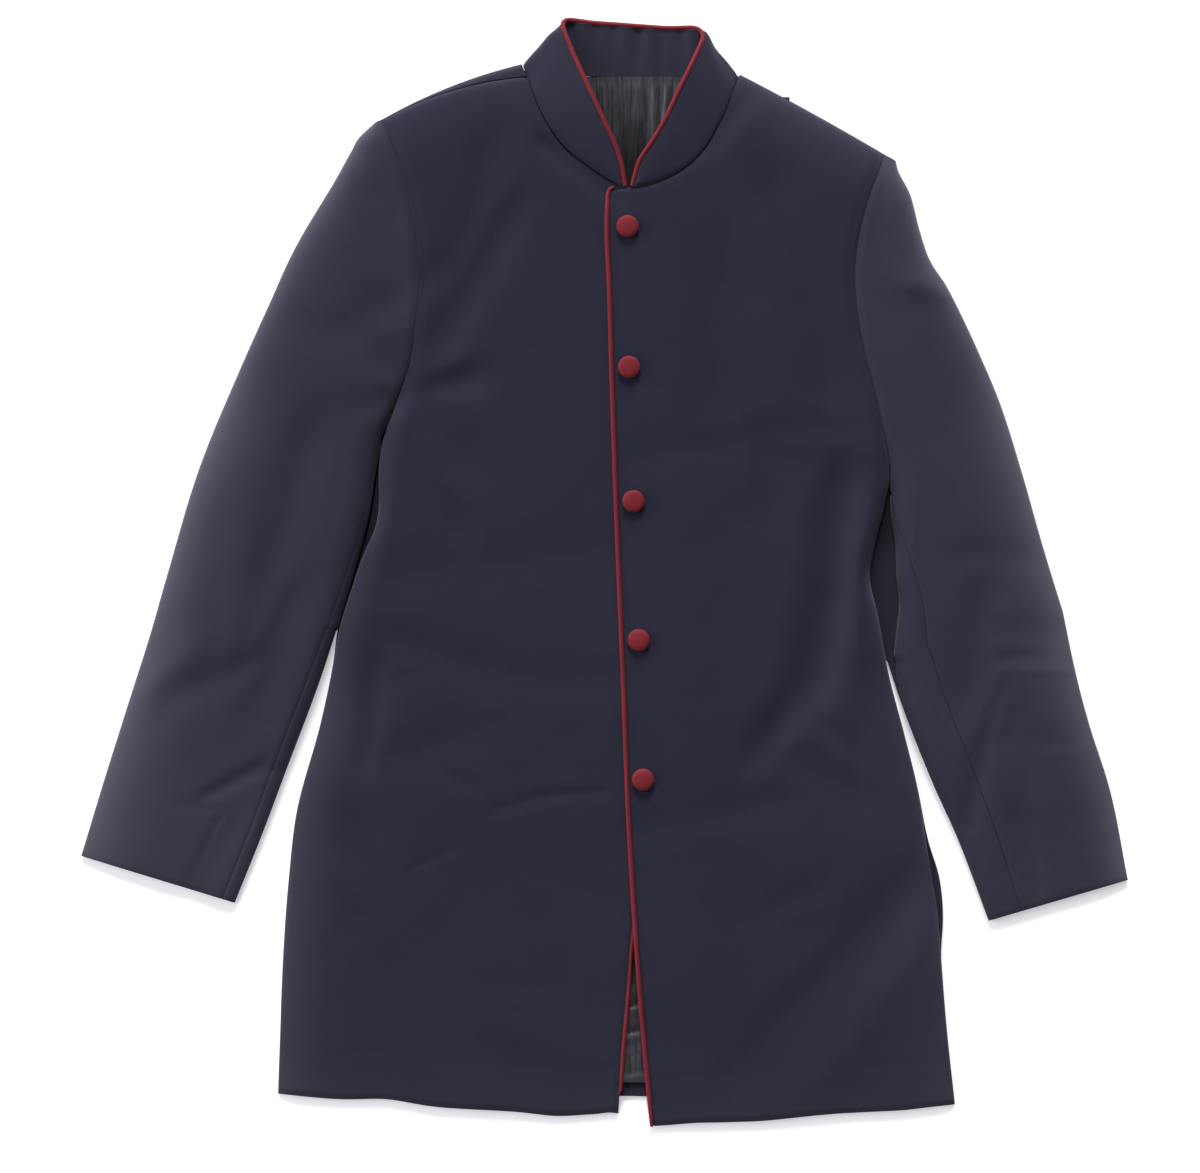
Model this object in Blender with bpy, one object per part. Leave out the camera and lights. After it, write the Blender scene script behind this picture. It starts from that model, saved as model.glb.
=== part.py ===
"""A navy band-collar suit jacket, piped in maroon, laid on its back on a flat surface.

Seen from above, +X is to the right (the wearer's left side), +Y runs to the collar and +Z is up.
Every size and table below is in millimetres, and MM turns them into Blender's metres.
A panel of cloth is a grid of points on its outer side, worked out from a few tables, and a wall
that lies inside it.
"""

import math

import bpy
import numpy as np

MM = 0.001

# ---- driving dimensions, in millimetres ----
SEAM_GAP = 0.3  # between two pieces that are sewn together
SHOULDER_GAP = 0.75  # a little more on the curved shoulder seam
FRONT_WALL = 2.0  # cloth, canvas and facing
BACK_WALL = 1.6
SLEEVE_WALL = 1.6
COLLAR_WALL = 2.6
COLLAR_GAP = 0.6
NECK_CORNER = np.array([0.0, -1.6])  # the left back's corner keeps this far off the collar's fold
LINING_WALL = 1.0
LINING_BASE = BACK_WALL + SEAM_GAP
COLLAR_FACING = 1  # which way a collar grid's normals turn to look outwards
PIPING_RADIUS = 1.9
PIPING_GAP = 0.5
FOLD_GAP = 0.9  # more of it where the collar is folded over
PIPING_SIDES = 6
BUTTON_RADIUS = 9.25
BUTTON_HEIGHT = 5.0
FOLD_EDGE = 3.0  # height of the line where the upper and lower layers meet at a side
UPPER_EDGE = FOLD_EDGE + SEAM_GAP / 2
LOWER_EDGE = FOLD_EDGE - SEAM_GAP / 2
SEWN_EDGE = 2 * SLEEVE_WALL + 2 * SEAM_GAP  # lowest place of a sleeve's cap, over its under side
CENTRE_BACK = 22.0  # x of the centre back seam
NAPE = 411.0  # y of the collar seam at the centre back
HEM_CENTRE = -437.0  # y of the back's hem there
SHOULDER_FOLD = 5.5  # radius of the back where it comes over the right shoulder
SHOULDER_ROLL = 46.0  # width over which a front rounds up from the shoulder
OVERLAP_LIFT = 2.5  # the left front over the right one
OVERLAP_WIDTH = 38.0
LIFT_FADE = 60.0
BUTTON_GAP = 0.5
PIPING_DROP_LEFT = 0.3  # from the left front's upper side down to the middle of its piping
PARTING = -330.0  # y below which the fronts part and the right one's piping lies higher


def smooth(keys, values, key):
    """The row of values at `key`, on a smooth curve through the rows that stand at `keys`."""
    slopes = np.gradient(values, keys, axis=0)
    i = int(np.clip(np.searchsorted(keys, key) - 1, 0, len(keys) - 2))
    span = keys[i + 1] - keys[i]
    t = (key - keys[i]) / span
    start = (1 + 2 * t) * (1 - t) ** 2 * values[i] + t * (1 - t) ** 2 * span * slopes[i]
    end = t * t * (3 - 2 * t) * values[i + 1] + t * t * (t - 1) * span * slopes[i + 1]
    return start + end


class Table:
    """Rows of named columns, read between the rows by the value of the first column."""

    def __init__(self, columns, *rows):
        self.columns = columns.split()
        self.rows = np.array(rows, dtype=float)

    def at(self, key, column):
        values = self.rows[:, self.columns.index(column)]
        return float(smooth(self.rows[:, 0], values, key))


class Line:
    """A smooth line through points, read by the share of its length, from 0 to 1."""

    def __init__(self, *points):
        self.points = np.array(points, dtype=float)
        steps = np.linalg.norm(np.diff(self.points, axis=0), axis=1)
        self.shares = np.concatenate([[0.0], np.cumsum(steps)]) / steps.sum()

    def at(self, share):
        return smooth(self.shares, self.points, share)


def ease(t):
    """0 to 1 with soft ends, as t goes from 0 to 1."""
    t = min(max(t, 0.0), 1.0)
    return t * t * (3 - 2 * t)


def swell(distance, width):
    """How far a rounded edge has risen at this distance in from it: 0 at the edge, then 1."""
    left = 1 - min(max(distance / width, 0.0), 1.0)
    return math.sqrt(1 - left * left)


def curl(distance, height):
    """Height of the lower layer's edge, which turns up as a quarter circle."""
    left = 1 - min(max(distance / height, 0.0), 1.0) if height > 0.01 else 0.0
    return height * (1 - math.sqrt(1 - left * left))


# ---- outlines: a row for each section ----
# x is the edge of the upper layer and back_x that of the back, at y. edge is the height of the
# upper layer's edge: at the floor along the free side, and up on the armhole seam. roll is the
# width of its rounding.
SIDE_RIGHT = Table(
    "y x back_x edge roll",
    (-435, -272, -271, 3.1, 14),
    (-379, -270, -270, 3.1, 18),
    (-325, -268, -268, 3.1, 20),
    (-255, -263, -263, 3.1, 24),
    (-203, -257, -257, 3.1, 26),
    (-124, -236, -236, 3.1, 26),
    (-76, -226, -226, 3.1, 24),
    (-47, -222, -222, 3.1, 24),
    (-12, -212, -212, 3.1, 24),
    (49, -196, -196, 3.1, 22),
    (87, -190, -190, 3.1, 20),
    (119, -182, -182, 5.0, 20),
    (145, -172, -172, 9.0, 18),
    (173, -162.5, -162.5, 13.0, 16),
    (205, -158, -158, 16.0, 14),
    (240, -155, -155, 17.0, 14),
    (269, -156, -156, 17.3, 14),
    (304, -162.5, -162.5, 17.3, 14),
    (339, -171.5, -171.5, 16.0, 14),
    (376, -186, -186, 15.0, 14),
)
SIDE_LEFT = Table(
    "y x back_x edge roll",
    (-444, 292, 290, 3.1, 14),
    (-379, 285, 284, 3.1, 18),
    (-316, 280, 280.5, 3.1, 20),
    (-285, 277.5, 282, 3.1, 20),
    (-255, 272.5, 279, 3.1, 22),
    (-225, 268, 270, 3.1, 22),
    (-181, 261, 261, 3.1, 24),
    (-140, 251, 251, 3.1, 26),
    (-82, 236, 236, 3.1, 28),
    (-38, 228, 228, 3.1, 30),
    (-3, 221, 221, 3.1, 30),
    (24, 225.5, 225.5, 3.1, 26),
    (53, 233, 233, 3.1, 20),
    (75, 237, 237, 6.0, 18),
    (94, 236.5, 236.5, 10.0, 16),
    (119, 232, 232, 14.0, 14),
    (148, 226, 226, 16.5, 14),
    (202, 213, 213, 17.3, 14),
    (253, 209, 209, 17.3, 14),
    (304, 218, 218, 17.0, 14),
    (347, 234, 234, 15.0, 14),
)
# The front edges start at the neck here, beside the top ends of their piping.
FRONT_CORNER_RIGHT = (37.8, 316.5)
FRONT_CORNER_LEFT = (4.8, 316.0)

# Middle of the piping, up the left front's edge and up the right front's.
EDGE_LEFT = Table(
    "y x",
    (-462, 39.3), (-395, 33), (-299, 25.4), (-210, 20), (-92, 15.4), (30, 10.4),
    (157, 6), (240, 3.6), (283, 1.8), (316, 2.6),
)
EDGE_RIGHT = Table(
    "y x",
    (-452, 13), (-408, 15.4), (-354, 20), (-303, 24), (-235, 36), (-172, 42), (-60, 48),
    (100, 45.5), (240, 42), (316, 40),
)
CROWN = Table(  # height of the body's upper side
    "y z",
    (-462, 6.3), (-380, 8.5), (-300, 11), (-200, 14), (-100, 16), (0, 17), (100, 18.5),
    (200, 19.5), (300, 19.5), (430, 17.5),
)
NECK_RIGHT = Line(  # collar seam of the right front, from the middle to the shoulder seam
    (13.5, 320.8), (1, 327), (-15, 338), (-32, 351), (-43, 365), (-52.5, 381), (-60, 399),
    (-64.8, 412),
)
NECK_LEFT = Line(
    (26, 319.4), (36, 321), (48, 325), (65, 334), (80, 347), (91, 365), (100, 382), (106.5, 399),
    (112.5, 413.5),
)
NECK_BACK_RIGHT = Line((CENTRE_BACK, NAPE), (-20, 412.5), (-50, 415), (-67, 418))
NECK_BACK_LEFT = Line((CENTRE_BACK, NAPE), (60, 411.5), (95, 413), (112.5, 413.5))

# Middle of the collar's piping. It runs from the band's right end up to the fold at the neck's
# side, round the fold, along the nape, round the other fold and down to the left end.
COLLAR_TOP_RIGHT = Line(
    (16.3, 324, 20.5), (16.2, 330, 21.5), (14.6, 343, 23), (10.4, 356, 24), (3.8, 370, 24.5),
    (-5.4, 390, 24), (-14.6, 410, 21.5), (-23.8, 430, 17), (-31.7, 450, 12),
)
COLLAR_FOLD_RIGHT = Line(
    (-31.7, 450, 12), (-33.8, 456, 9.5), (-34.2, 458.8, 6.2), (-33, 459.8, 3.4), (-29, 459.2, 2),
)
COLLAR_NAPE = Line(
    (-29, 459.2, 2), (-18, 457.8, 1.9), (1, 455, 1.9), (23.5, 453.6, 1.9), (45, 451.6, 1.9),
    (60, 451, 1.9), (72, 452.2, 1.9), (79, 451.5, 2),
)
COLLAR_FOLD_LEFT = Line(
    (79, 451.5, 2), (84.5, 450, 3.4), (86.2, 447.3, 6.2), (85, 444, 9.5), (82, 439, 12.4),
)
COLLAR_TOP_LEFT = Line(
    (82, 439, 12.4), (78.3, 430, 17), (67.9, 410, 22.5), (58.3, 390, 25), (48.8, 370, 26),
    (40, 356, 26), (30, 343, 25.2), (24.2, 330, 24), (23.8, 324, 23),
)

# ---- sleeves: a row for each section, from the cuff to the shoulder ----
# outer and inner are the section's ends, height its upper side, roll the rounding of its inner
# edge, and seam the distance from that edge to the seam on the upper side.
SLEEVE_RIGHT_LOWER = Line(
    (-436, -237, -308, -276, 6.8, 10, 11),
    (-416, -171, -284, -216, 9, 12, 11),
    (-399, -117, -266, -168, 10.5, 14, 11),
    (-376, -44, -235, -85, 13, 16, 10),
    (-367, -12, -222.6, -47, 14.5, 18, 8),
)
SLEEVE_RIGHT_UPPER = Table(
    "inner_y outer_x outer_y height roll seam",
    (-47, -367, -12, 14.5, 18, 8),
    (49, -339, 82, 17.5, 22, 4),
    (145, -306, 163, 19, 20, 2),
    (205, -281, 219, 19.5, 16, 2),
    (269, -252, 280, 19, 16, 2),
    (304, -226, 323, 18, 16, 2),
    (339, -211.5, 349, 17.5, 14, 2),
    (362, -203, 363, 14.5, 12, 2),
    (376, -191, 374, 9.4, 8, 2),
)
SLEEVE_LEFT_LOWER = Line(
    (436, -257, 320, -291, 6.8, 10, 28),
    (420, -178, 293, -220, 9, 14, 32),
    (404, -128, 274, -178, 10.5, 16, 35),
    (390, -73, 248, -112, 13, 22, 35),
    (382, -34, 237.6, -73, 14.5, 30, 34),
)
SLEEVE_LEFT_UPPER = Table(
    "inner_y outer_x outer_y height roll seam",
    (-73, 382, -34, 14.5, 30, 34),
    (-3, 364, 25, 17, 38, 36),
    (53, 347, 85, 18.5, 30, 8),
    (94, 332, 133, 19, 20, 2),
    (148, 311, 184, 19.5, 16, 2),
    (202, 287, 234, 19.5, 16, 2),
    (253, 269, 264, 19, 16, 2),
    (279, 262, 286, 18, 16, 2),
    (304, 255, 313, 17, 16, 2),
    (330, 245, 333, 13, 12, 2),
    (347, 242.5, 342, 8, 6, 2),
)

# ---- the largest folds: height is below 0 for a trough ----
FOLDS = Table(
    "x y to_x to_y width height",
    (-87, 363, -137, 205, 15, -1.2),  # right front, drag from the shoulder
    (-137, 250, -174, 226, 16, -1.4),
    (-170, 172, -120, 88, 16, -1.8),
    (-178, 147, -128, 74, 12, 1.5),
    (-187, -4, -12, 17, 18, -1.2),
    (-171, -54, -104, -83, 14, -2.2),
    (-162, -153, -129, -141, 14, -1.2),
    (-87, -99, 5, -91, 14, -2.0),
    (-216, -187, -120, -415, 20, -2.0),
    (-112, -415, -4, -428, 14, -1.4),
    (130, 335, 205, 143, 16, -1.4),  # left front
    (100, 251, 96, 143, 18, -1.0),
    (38, 97, 213, 122, 14, -1.4),
    (196, 76, 180, -82, 18, -4.0),
    (180, -82, 134, -141, 16, -2.4),
    (209, 10, 205, -57, 12, 2.4),
    (138, -149, 213, -190, 16, -2.0),
    (30, -216, 155, -190, 15, -1.4),
    (117, -291, 163, -270, 14, -1.2),
    (267, -257, 155, -390, 20, -2.6),
    (-200, 318, -171, 240, 12, -1.6),  # right sleeve
    (-333, -7, -325, -98, 14, -1.6),
    (-246, 113, -287, -24, 16, -1.8),
    (-262, -24, -283, -98, 14, -1.6),
    (-354, -99, -287, -74, 13, -2.6),
    (-378, -98, -345, -66, 11, 1.6),
    (-312, -215, -340, -261, 9, -1.2),
    (279, 234, 262, 238, 9, 2.4),  # left sleeve
    (296, 14, 388, 12, 13, -2.0),
    (317, -28, 304, -104, 14, -2.0),
    (330, -45, 404, -54, 13, -1.8),
    (342, -120, 359, -162, 10, -1.2),
)


def relief(x, y):
    """Sum of the folds' heights at a place: each is a smooth trough or ridge between two points."""
    x0, y0, x1, y1, width, height = FOLDS.rows.T
    along_x, along_y = x1 - x0, y1 - y0
    length = np.hypot(along_x, along_y)
    share = ((x - x0) * along_x + (y - y0) * along_y) / length**2
    off = ((x - x0) * along_y - (y - y0) * along_x) / length
    fade = np.clip(1.25 * (1 - (2 * share - 1) ** 2), 0, 1)
    return float(np.sum(height * fade * np.exp(-((off / width) ** 2))))


def body_height(x, y):
    """Height of the upper side of the body, where no edge rounds it down."""
    return CROWN.at(y, "z") + relief(x, y)


def steps(start, end, count, bend=1.0):
    """Count + 1 values from start to end, which crowd towards the end where bend is over 1."""
    shares = 1 - (1 - np.linspace(0, 1, count + 1)) ** bend
    return start + (end - start) * shares


class Half:
    """One half of the body: its outline, and the heights at which its sections stand."""

    def __init__(self, name, side, hem, hem_back, crotch, armpit, yoke, tip, neck_point, bow):
        self.name = name
        self.side = side
        self.hem_back = hem_back
        self.sign = -1 if side is SIDE_RIGHT else 1
        self.tip_y = tip
        self.tip = np.array([side.at(tip, "x"), tip])
        self.neck_point = np.array(neck_point, dtype=float)
        self.bow = bow
        self.free = 14  # sections along the free side, then beside the sleeve
        below = steps(hem, crotch, self.free)
        beside = steps(crotch, armpit, 6)[1:]
        above = steps(armpit, yoke, 6)[1:]
        top = steps(yoke, tip, 9, 1.6)[1:]
        self.sections = np.concatenate([below, beside, above, top])
        self.yoke = self.free + 12
        along = self.neck_point - self.tip
        self.shoulder = along / np.linalg.norm(along)
        self.inward = np.array([self.shoulder[1], -self.shoulder[0]]) * -self.sign
        if self.inward[1] > 0:
            self.inward = -self.inward

    def shoulder_point(self, share, inset=0.0):
        """A point on the shoulder's fold, from its tip to the neck, or inside it."""
        chord = self.tip + (self.neck_point - self.tip) * share
        return chord - self.inward * (4 * share * (1 - share) * self.bow) + self.inward * inset

    def edge(self, y):
        """Height of the upper layer's edge on the side and the armhole."""
        return max(self.side.at(y, "edge"), UPPER_EDGE)


RIGHT = Half("right", SIDE_RIGHT, -435, -433, -47, 145, 268, 376, (-69, 422.5), 4.5)
LEFT = Half("left", SIDE_LEFT, -444, -441, -73, 75, 250, 347, (112.8, 414), 1.0)


def seam_inset(share):
    """How far the right shoulder seam lies in front of the shoulder's fold."""
    return 0.6 + 10.4 * share * share


def fold_turn(inset):
    """How far the cloth has turned over the shoulder's fold, as the cosine and sine of an angle."""
    cosine = 1 - min(inset / SHOULDER_FOLD, 1.0)
    return cosine, math.sqrt(1 - cosine * cosine)


def top_height(half, share):
    """Height of a front's top edge: on the seam at the right, at the floor on the left."""
    if half is LEFT:
        return UPPER_EDGE
    cosine, sine = fold_turn(seam_inset(share))
    return SHOULDER_FOLD * (1 + sine) + SHOULDER_GAP * cosine


def rise_from_shoulder(half, height, share, below_top):
    """A front's height, rounded down to its shoulder edge."""
    base = top_height(half, share)
    return base + (height - base) * swell(below_top, SHOULDER_ROLL)


def armhole_height(half, y):
    """Height of the seam between a front and its sleeve."""
    return rise_from_shoulder(half, half.edge(y), 0.0, half.tip_y - y)


def plan_grid(outer, inner, top, bottom, places, yoke):
    """Places in plan on the lines from outer to inner points, bowed to the top and bottom lines.

    places[row] holds the distances from the outer point, and None stands for a whole line.
    """
    rows = len(outer)
    grid = []
    for row in range(rows):
        start, end = np.array(outer[row]), np.array(inner[row])
        length = np.linalg.norm(end - start)
        shares = np.array(places[row]) / length
        line = start + (end - start) * shares[:, None]
        if row >= yoke:
            pull = ((row - yoke) / (rows - 1 - yoke)) ** 2
            chord = np.array([top(0.0) + (top(1.0) - top(0.0)) * s for s in shares])
            line = line + (np.array([top(s) for s in shares]) - chord) * pull
        if row < 5:
            pull = (1 - row / 5) ** 2
            line = line + np.outer(4 * shares * (1 - shares) * pull, [0.0, bottom])
        grid.append(line)
    return np.array(grid)


# ---- meshes ----
def skin_normals(skin, facing):
    """Unit normals of a grid of points, from the faces round each, turned to its outer side."""
    across = np.diff(skin, axis=1)
    along = np.diff(skin, axis=0)
    faces = np.cross(across[:-1] + across[1:], along[:, :-1] + along[:, 1:])
    faces /= np.linalg.norm(faces, axis=2, keepdims=True)
    total = np.zeros_like(skin)
    for down in (0, 1):
        for right in (0, 1):
            total[down:down + len(faces), right:right + faces.shape[1]] += faces
    return facing * total / np.linalg.norm(total, axis=2, keepdims=True)


def make_material(name, colour, roughness):
    material = bpy.data.materials.new(name)
    material.use_nodes = True
    shader = material.node_tree.nodes["Principled BSDF"]
    channels = [int(colour[i:i + 2], 16) / 255 for i in (1, 3, 5)]
    linear = [c / 12.92 if c <= 0.04045 else ((c + 0.055) / 1.055) ** 2.4 for c in channels]
    shader.inputs["Base Color"].default_value = (*linear, 1.0)
    shader.inputs["Roughness"].default_value = roughness
    shader.inputs["Metallic"].default_value = 0.0
    return material


def add_object(name, points, faces, material):
    mesh = bpy.data.meshes.new(name)
    mesh.from_pydata((np.array(points) * MM).tolist(), [], faces)
    mesh.materials.append(material)
    mesh.shade_smooth()
    mesh.set_sharp_from_angle(angle=math.radians(50))
    thing = bpy.data.objects.new(name, mesh)
    bpy.context.scene.collection.objects.link(thing)
    return thing


def inner_side(skin, normals, thickness):
    """The inner side of a wall: its outer points, moved in along their normals."""
    return skin - thickness * normals / np.linalg.norm(normals, axis=2, keepdims=True)


def add_wall(name, skin, normals, thickness, facing, material):
    """A closed wall of cloth from a grid on its outer side."""
    inner = inner_side(skin, normals, thickness)
    rows, columns = skin.shape[:2]
    points = np.concatenate([skin.reshape(-1, 3), inner.reshape(-1, 3)])
    offset = rows * columns
    faces = []
    for i in range(rows - 1):
        for j in range(columns - 1):
            a = i * columns + j
            quad = (a, a + 1, a + columns + 1, a + columns)
            faces.append(quad)
            faces.append(tuple(v + offset for v in reversed(quad)))
    rim = list(range(columns))
    rim += [i * columns + columns - 1 for i in range(1, rows)]
    rim += [(rows - 1) * columns + j for j in range(columns - 2, -1, -1)]
    rim += [i * columns for i in range(rows - 2, 0, -1)]
    for a, b in zip(rim, rim[1:] + rim[:1]):
        faces.append((b, a, a + offset, b + offset))
    if facing < 0:
        faces = [tuple(reversed(face)) for face in faces]
    return add_object(name, points, faces, material)


def add_tube(name, path, material):
    """A piping cord: a round tube with flat ends along a path."""
    curve = bpy.data.curves.new(name, "CURVE")
    curve.dimensions = "3D"
    curve.bevel_depth = PIPING_RADIUS * MM
    curve.bevel_resolution = (PIPING_SIDES - 4) // 2
    curve.use_fill_caps = True
    spline = curve.splines.new("POLY")
    spline.points.add(len(path) - 1)
    for point, place in zip(spline.points, path):
        point.co = (*(np.array(place) * MM), 1.0)
    curve.materials.append(material)
    thing = bpy.data.objects.new(name, curve)
    bpy.context.scene.collection.objects.link(thing)
    return thing


def add_button(name, centre, normal, material, sides=16):
    """A covered button: a flat underside, a rounded rim and a low dome, turned to the cloth."""
    profile = [(0.86, 0.0), (1.0, 0.26), (0.97, 0.56), (0.74, 0.84), (0.38, 0.97)]
    up = normal / np.linalg.norm(normal)
    right = np.cross([0.0, 1.0, 0.0], up)
    right /= np.linalg.norm(right)
    ahead = np.cross(up, right)
    points = []
    for radius, height in profile:
        for k in range(sides):
            turn = 2 * math.pi * k / sides
            round_ = right * math.cos(turn) + ahead * math.sin(turn)
            points.append(centre + round_ * radius * BUTTON_RADIUS + up * height * BUTTON_HEIGHT)
    points.append(centre + up * BUTTON_HEIGHT)
    faces = [tuple(reversed(range(sides)))]
    for ring in range(len(profile) - 1):
        for k in range(sides):
            a, b = ring * sides + k, ring * sides + (k + 1) % sides
            faces.append((a, b, b + sides, a + sides))
    last = (len(profile) - 1) * sides
    for k in range(sides):
        faces.append((last + k, last + (k + 1) % sides, len(points) - 1))
    return add_object(name, points, faces, material)


# ---- fronts ----
ROLL_STEPS = 4  # columns on a rounded edge
FRONT_COLUMNS = 9  # columns from the rounding to the front edge


def overlap_lift(x, y):
    """How far the left front is lifted by the right one under it."""
    beyond = x - EDGE_LEFT.at(min(y, 316), "x") - OVERLAP_WIDTH - 8
    across = 1 - ease(beyond / LIFT_FADE)
    return OVERLAP_LIFT * across * (0.2 + 0.8 * ease((y + 400) / 60))


def front_skin(half, edge_table, neck, corner):
    """Grid on the upper side of a front, from hem to shoulder and from the side to its edge."""
    outer, inner, places = [], [], []
    hem, yoke_y = half.sections[0], half.sections[half.yoke]
    hem_front = edge_table.rows[0, 0]
    cloth_edge = (PIPING_RADIUS + SEAM_GAP) * half.sign
    last = len(half.sections) - 1

    def top(share):
        inset = seam_inset(share) if half is RIGHT else 0.0
        beyond_seam = SHOULDER_GAP * fold_turn(inset)[1]
        return half.shoulder_point(share, inset + beyond_seam)

    for row, y in enumerate(half.sections):
        outer.append((half.side.at(y, "x"), y))
        if row < half.yoke:
            front_y = hem_front + (corner[1] - hem_front) * (y - hem) / (yoke_y - hem)
            inner.append((edge_table.at(front_y, "x") + cloth_edge, front_y))
        elif row == half.yoke:
            inner.append(corner)
        else:
            inner.append(tuple(neck.at((row - half.yoke - 1) / (last - half.yoke - 1))))
    outer[-1] = tuple(top(0.0))
    inner[-1] = tuple(top(1.0))
    for start, end, y in zip(outer, inner, half.sections):
        width = math.dist(start, end)
        roll = half.side.at(y, "roll")
        rounding = [roll * (1 - math.cos(k / ROLL_STEPS * math.pi / 2)) for k in range(ROLL_STEPS)]
        places.append(rounding + list(np.linspace(roll, width, FRONT_COLUMNS)))
    plan = plan_grid(outer, inner, top, -3.5 if half is RIGHT else -1.5, places, half.yoke)
    skin = np.zeros((*plan.shape[:2], 3))
    for row, y in enumerate(half.sections):
        roll = half.side.at(y, "roll")
        for column, (px, py) in enumerate(plan[row]):
            height = body_height(px, py)
            if half is LEFT:
                height += overlap_lift(px, py)
            height = half.edge(y) + (height - half.edge(y)) * swell(places[row][column], roll)
            share = places[row][column] / places[row][-1]
            below_top = plan[-1][column][1] - py if column else half.tip_y - y
            height = rise_from_shoulder(half, height, share, below_top)
            skin[row, column] = (px, py, height)
    return skin


def side_normals(half, skin, facing, up):
    """A panel's normals. Its edge is cut level on the fold at its side, and upright above."""
    normals = skin_normals(skin, facing)
    for row, y in enumerate(half.sections):
        upright = ease((half.edge(y) - UPPER_EDGE) / 4)
        normals[row, 0] *= (1 - upright, 1 - upright, 0)
        normals[row, 0] += (0, 0, up * upright)
    return normals


def front_normals(half, skin):
    normals = side_normals(half, skin, -half.sign, 1)
    widths = np.linalg.norm(skin[-1] - skin[-1, 0], axis=1)
    for column, share in enumerate(widths / widths[-1]):
        cosine, sine = fold_turn(seam_inset(share) if half is RIGHT else 0.0)
        normals[-1, column] = (*(-half.inward * cosine), sine)
    return normals


# ---- back ----
BACK_COLUMNS = {"right": 8, "left": 3}  # the right one follows the shoulder seam
WRAP_STEPS = 6


def back_skin(half, neck):
    """Grid on the underside of a back half. It turns up at the side, and at the shoulder."""
    hem, yoke_y = half.sections[0], half.sections[half.yoke]
    last = len(half.sections) - 1
    seam_x = CENTRE_BACK + half.sign * SEAM_GAP / 2
    flat_inset = SHOULDER_FOLD if half is RIGHT else 0.0

    def top(share):
        return half.shoulder_point(share, flat_inset)

    outer, inner, places = [], [], []
    reach = (top(0.0)[1] - yoke_y) / (half.tip_y - yoke_y)
    for row, y in enumerate(half.sections):
        outer_y = yoke_y + (y - yoke_y) * reach if row > half.yoke else y
        x = half.side.at(outer_y, "back_x")
        outer.append((x, half.hem_back if row == 0 else outer_y))
        if row <= half.yoke:
            share = (y - hem) / (yoke_y - hem)
            inner.append((seam_x, HEM_CENTRE + (NAPE - HEM_CENTRE) * share))
        else:
            point = neck.at((row - half.yoke) / (last - half.yoke))
            inner.append((point[0] + half.sign * SEAM_GAP / 2, point[1]))
    outer[-1] = tuple(top(0.0))
    inner[-1] = tuple(top(1.0) + (NECK_CORNER if half is LEFT else 0))
    turn = [LOWER_EDGE * (1 - math.cos(k / 3 * math.pi / 2)) for k in range(3)]
    for start, end in zip(outer, inner):
        flat = np.linspace(LOWER_EDGE, math.dist(start, end), BACK_COLUMNS[half.name])
        places.append(turn + list(flat))
    plan = plan_grid(outer, inner, top, -1.0, places, half.yoke)
    skin = np.zeros((*plan.shape[:2], 3))
    for row, y in enumerate(half.sections):
        free = 1 - ease((half.edge(y) - UPPER_EDGE) / 6)
        for column, (px, py) in enumerate(plan[row]):
            height = curl(places[row][column], LOWER_EDGE) * free
            if half is LEFT:
                height = max(height, curl(math.dist(plan[-1][column], (px, py)), LOWER_EDGE))
            skin[row, column] = (px, py, height)
    if half is RIGHT:
        skin = np.concatenate([skin, shoulder_wrap(half, places[-1])])
    return skin


def shoulder_wrap(half, places):
    """Rows that carry the right back over the shoulder's fold to the shoulder seam."""
    rows = []
    for step in range(1, WRAP_STEPS + 1):
        row = []
        for place in places:
            share = place / places[-1]
            inset = seam_inset(share)
            turned = math.pi / 2 + math.acos(1 - min(inset / SHOULDER_FOLD, 1.0))
            straight = max(inset - SHOULDER_FOLD, 0.0)
            travel = (SHOULDER_FOLD * turned + straight) * step / WRAP_STEPS
            angle = min(travel / SHOULDER_FOLD, math.pi)
            beyond = max(travel - math.pi * SHOULDER_FOLD, 0.0)
            plan = half.shoulder_point(share, SHOULDER_FOLD * (1 - math.sin(angle)) + beyond)
            row.append((*plan, SHOULDER_FOLD * (1 - math.cos(angle))))
        rows.append(row)
    return np.array(rows)


def back_normals(half, skin):
    normals = side_normals(half, skin, half.sign, -1)
    if half is LEFT:
        normals[-1] = (*-half.inward, 0)
        normals[-1, -1] = (0.3, 1, 0)  # the corner keeps off the collar
    return normals


def lining_skin():
    """Grid on the upper side of the back lining, well inside the back's edges."""
    rows = []
    heights = [-425.5, -330, -250, -160, -80, 0, 60, 120, 180, 240, 290, 330, 360, 385, 400, 410.7]
    for y in heights:
        ends = []
        for half in (RIGHT, LEFT):
            inset = 16 + 60 * ease((y - 240) / 130)
            x = half.side.at(min(y, half.tip_y - 10), "back_x") - half.sign * inset
            if y > 395:
                x = -38 if half is RIGHT else 88
            ends.append(x)
        row = [(x, y, LINING_BASE + LINING_WALL) for x in np.linspace(ends[0], ends[1], 4)]
        rows.append(row)
    return np.array(rows)


# ---- sleeves ----
LOWER_SECTIONS = 9


def sleeve_stations(half, lower, upper):
    """Ends, height, rounding and seam of each section, and whether the body is sewn to it."""
    stations = []
    for share in steps(0, 1, LOWER_SECTIONS)[:-1]:
        values = lower.at(share)
        stations.append((values[:2], values[2:4], *values[4:], UPPER_EDGE, False))
    for y in half.sections[half.free:]:
        height, roll, seam = (upper.at(y, name) for name in ("height", "roll", "seam"))
        outer = np.array([upper.at(y, "outer_x"), upper.at(y, "outer_y")])
        inner = np.array([half.side.at(y, "x") + half.sign * SEAM_GAP * 1.6, y])
        sewn = half.edge(y) > UPPER_EDGE + 1.2
        edge = max(armhole_height(half, y), SEWN_EDGE) if sewn else UPPER_EDGE
        stations.append((outer, inner, height, roll, max(seam, 2.0), edge, sewn))
    return stations


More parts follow.
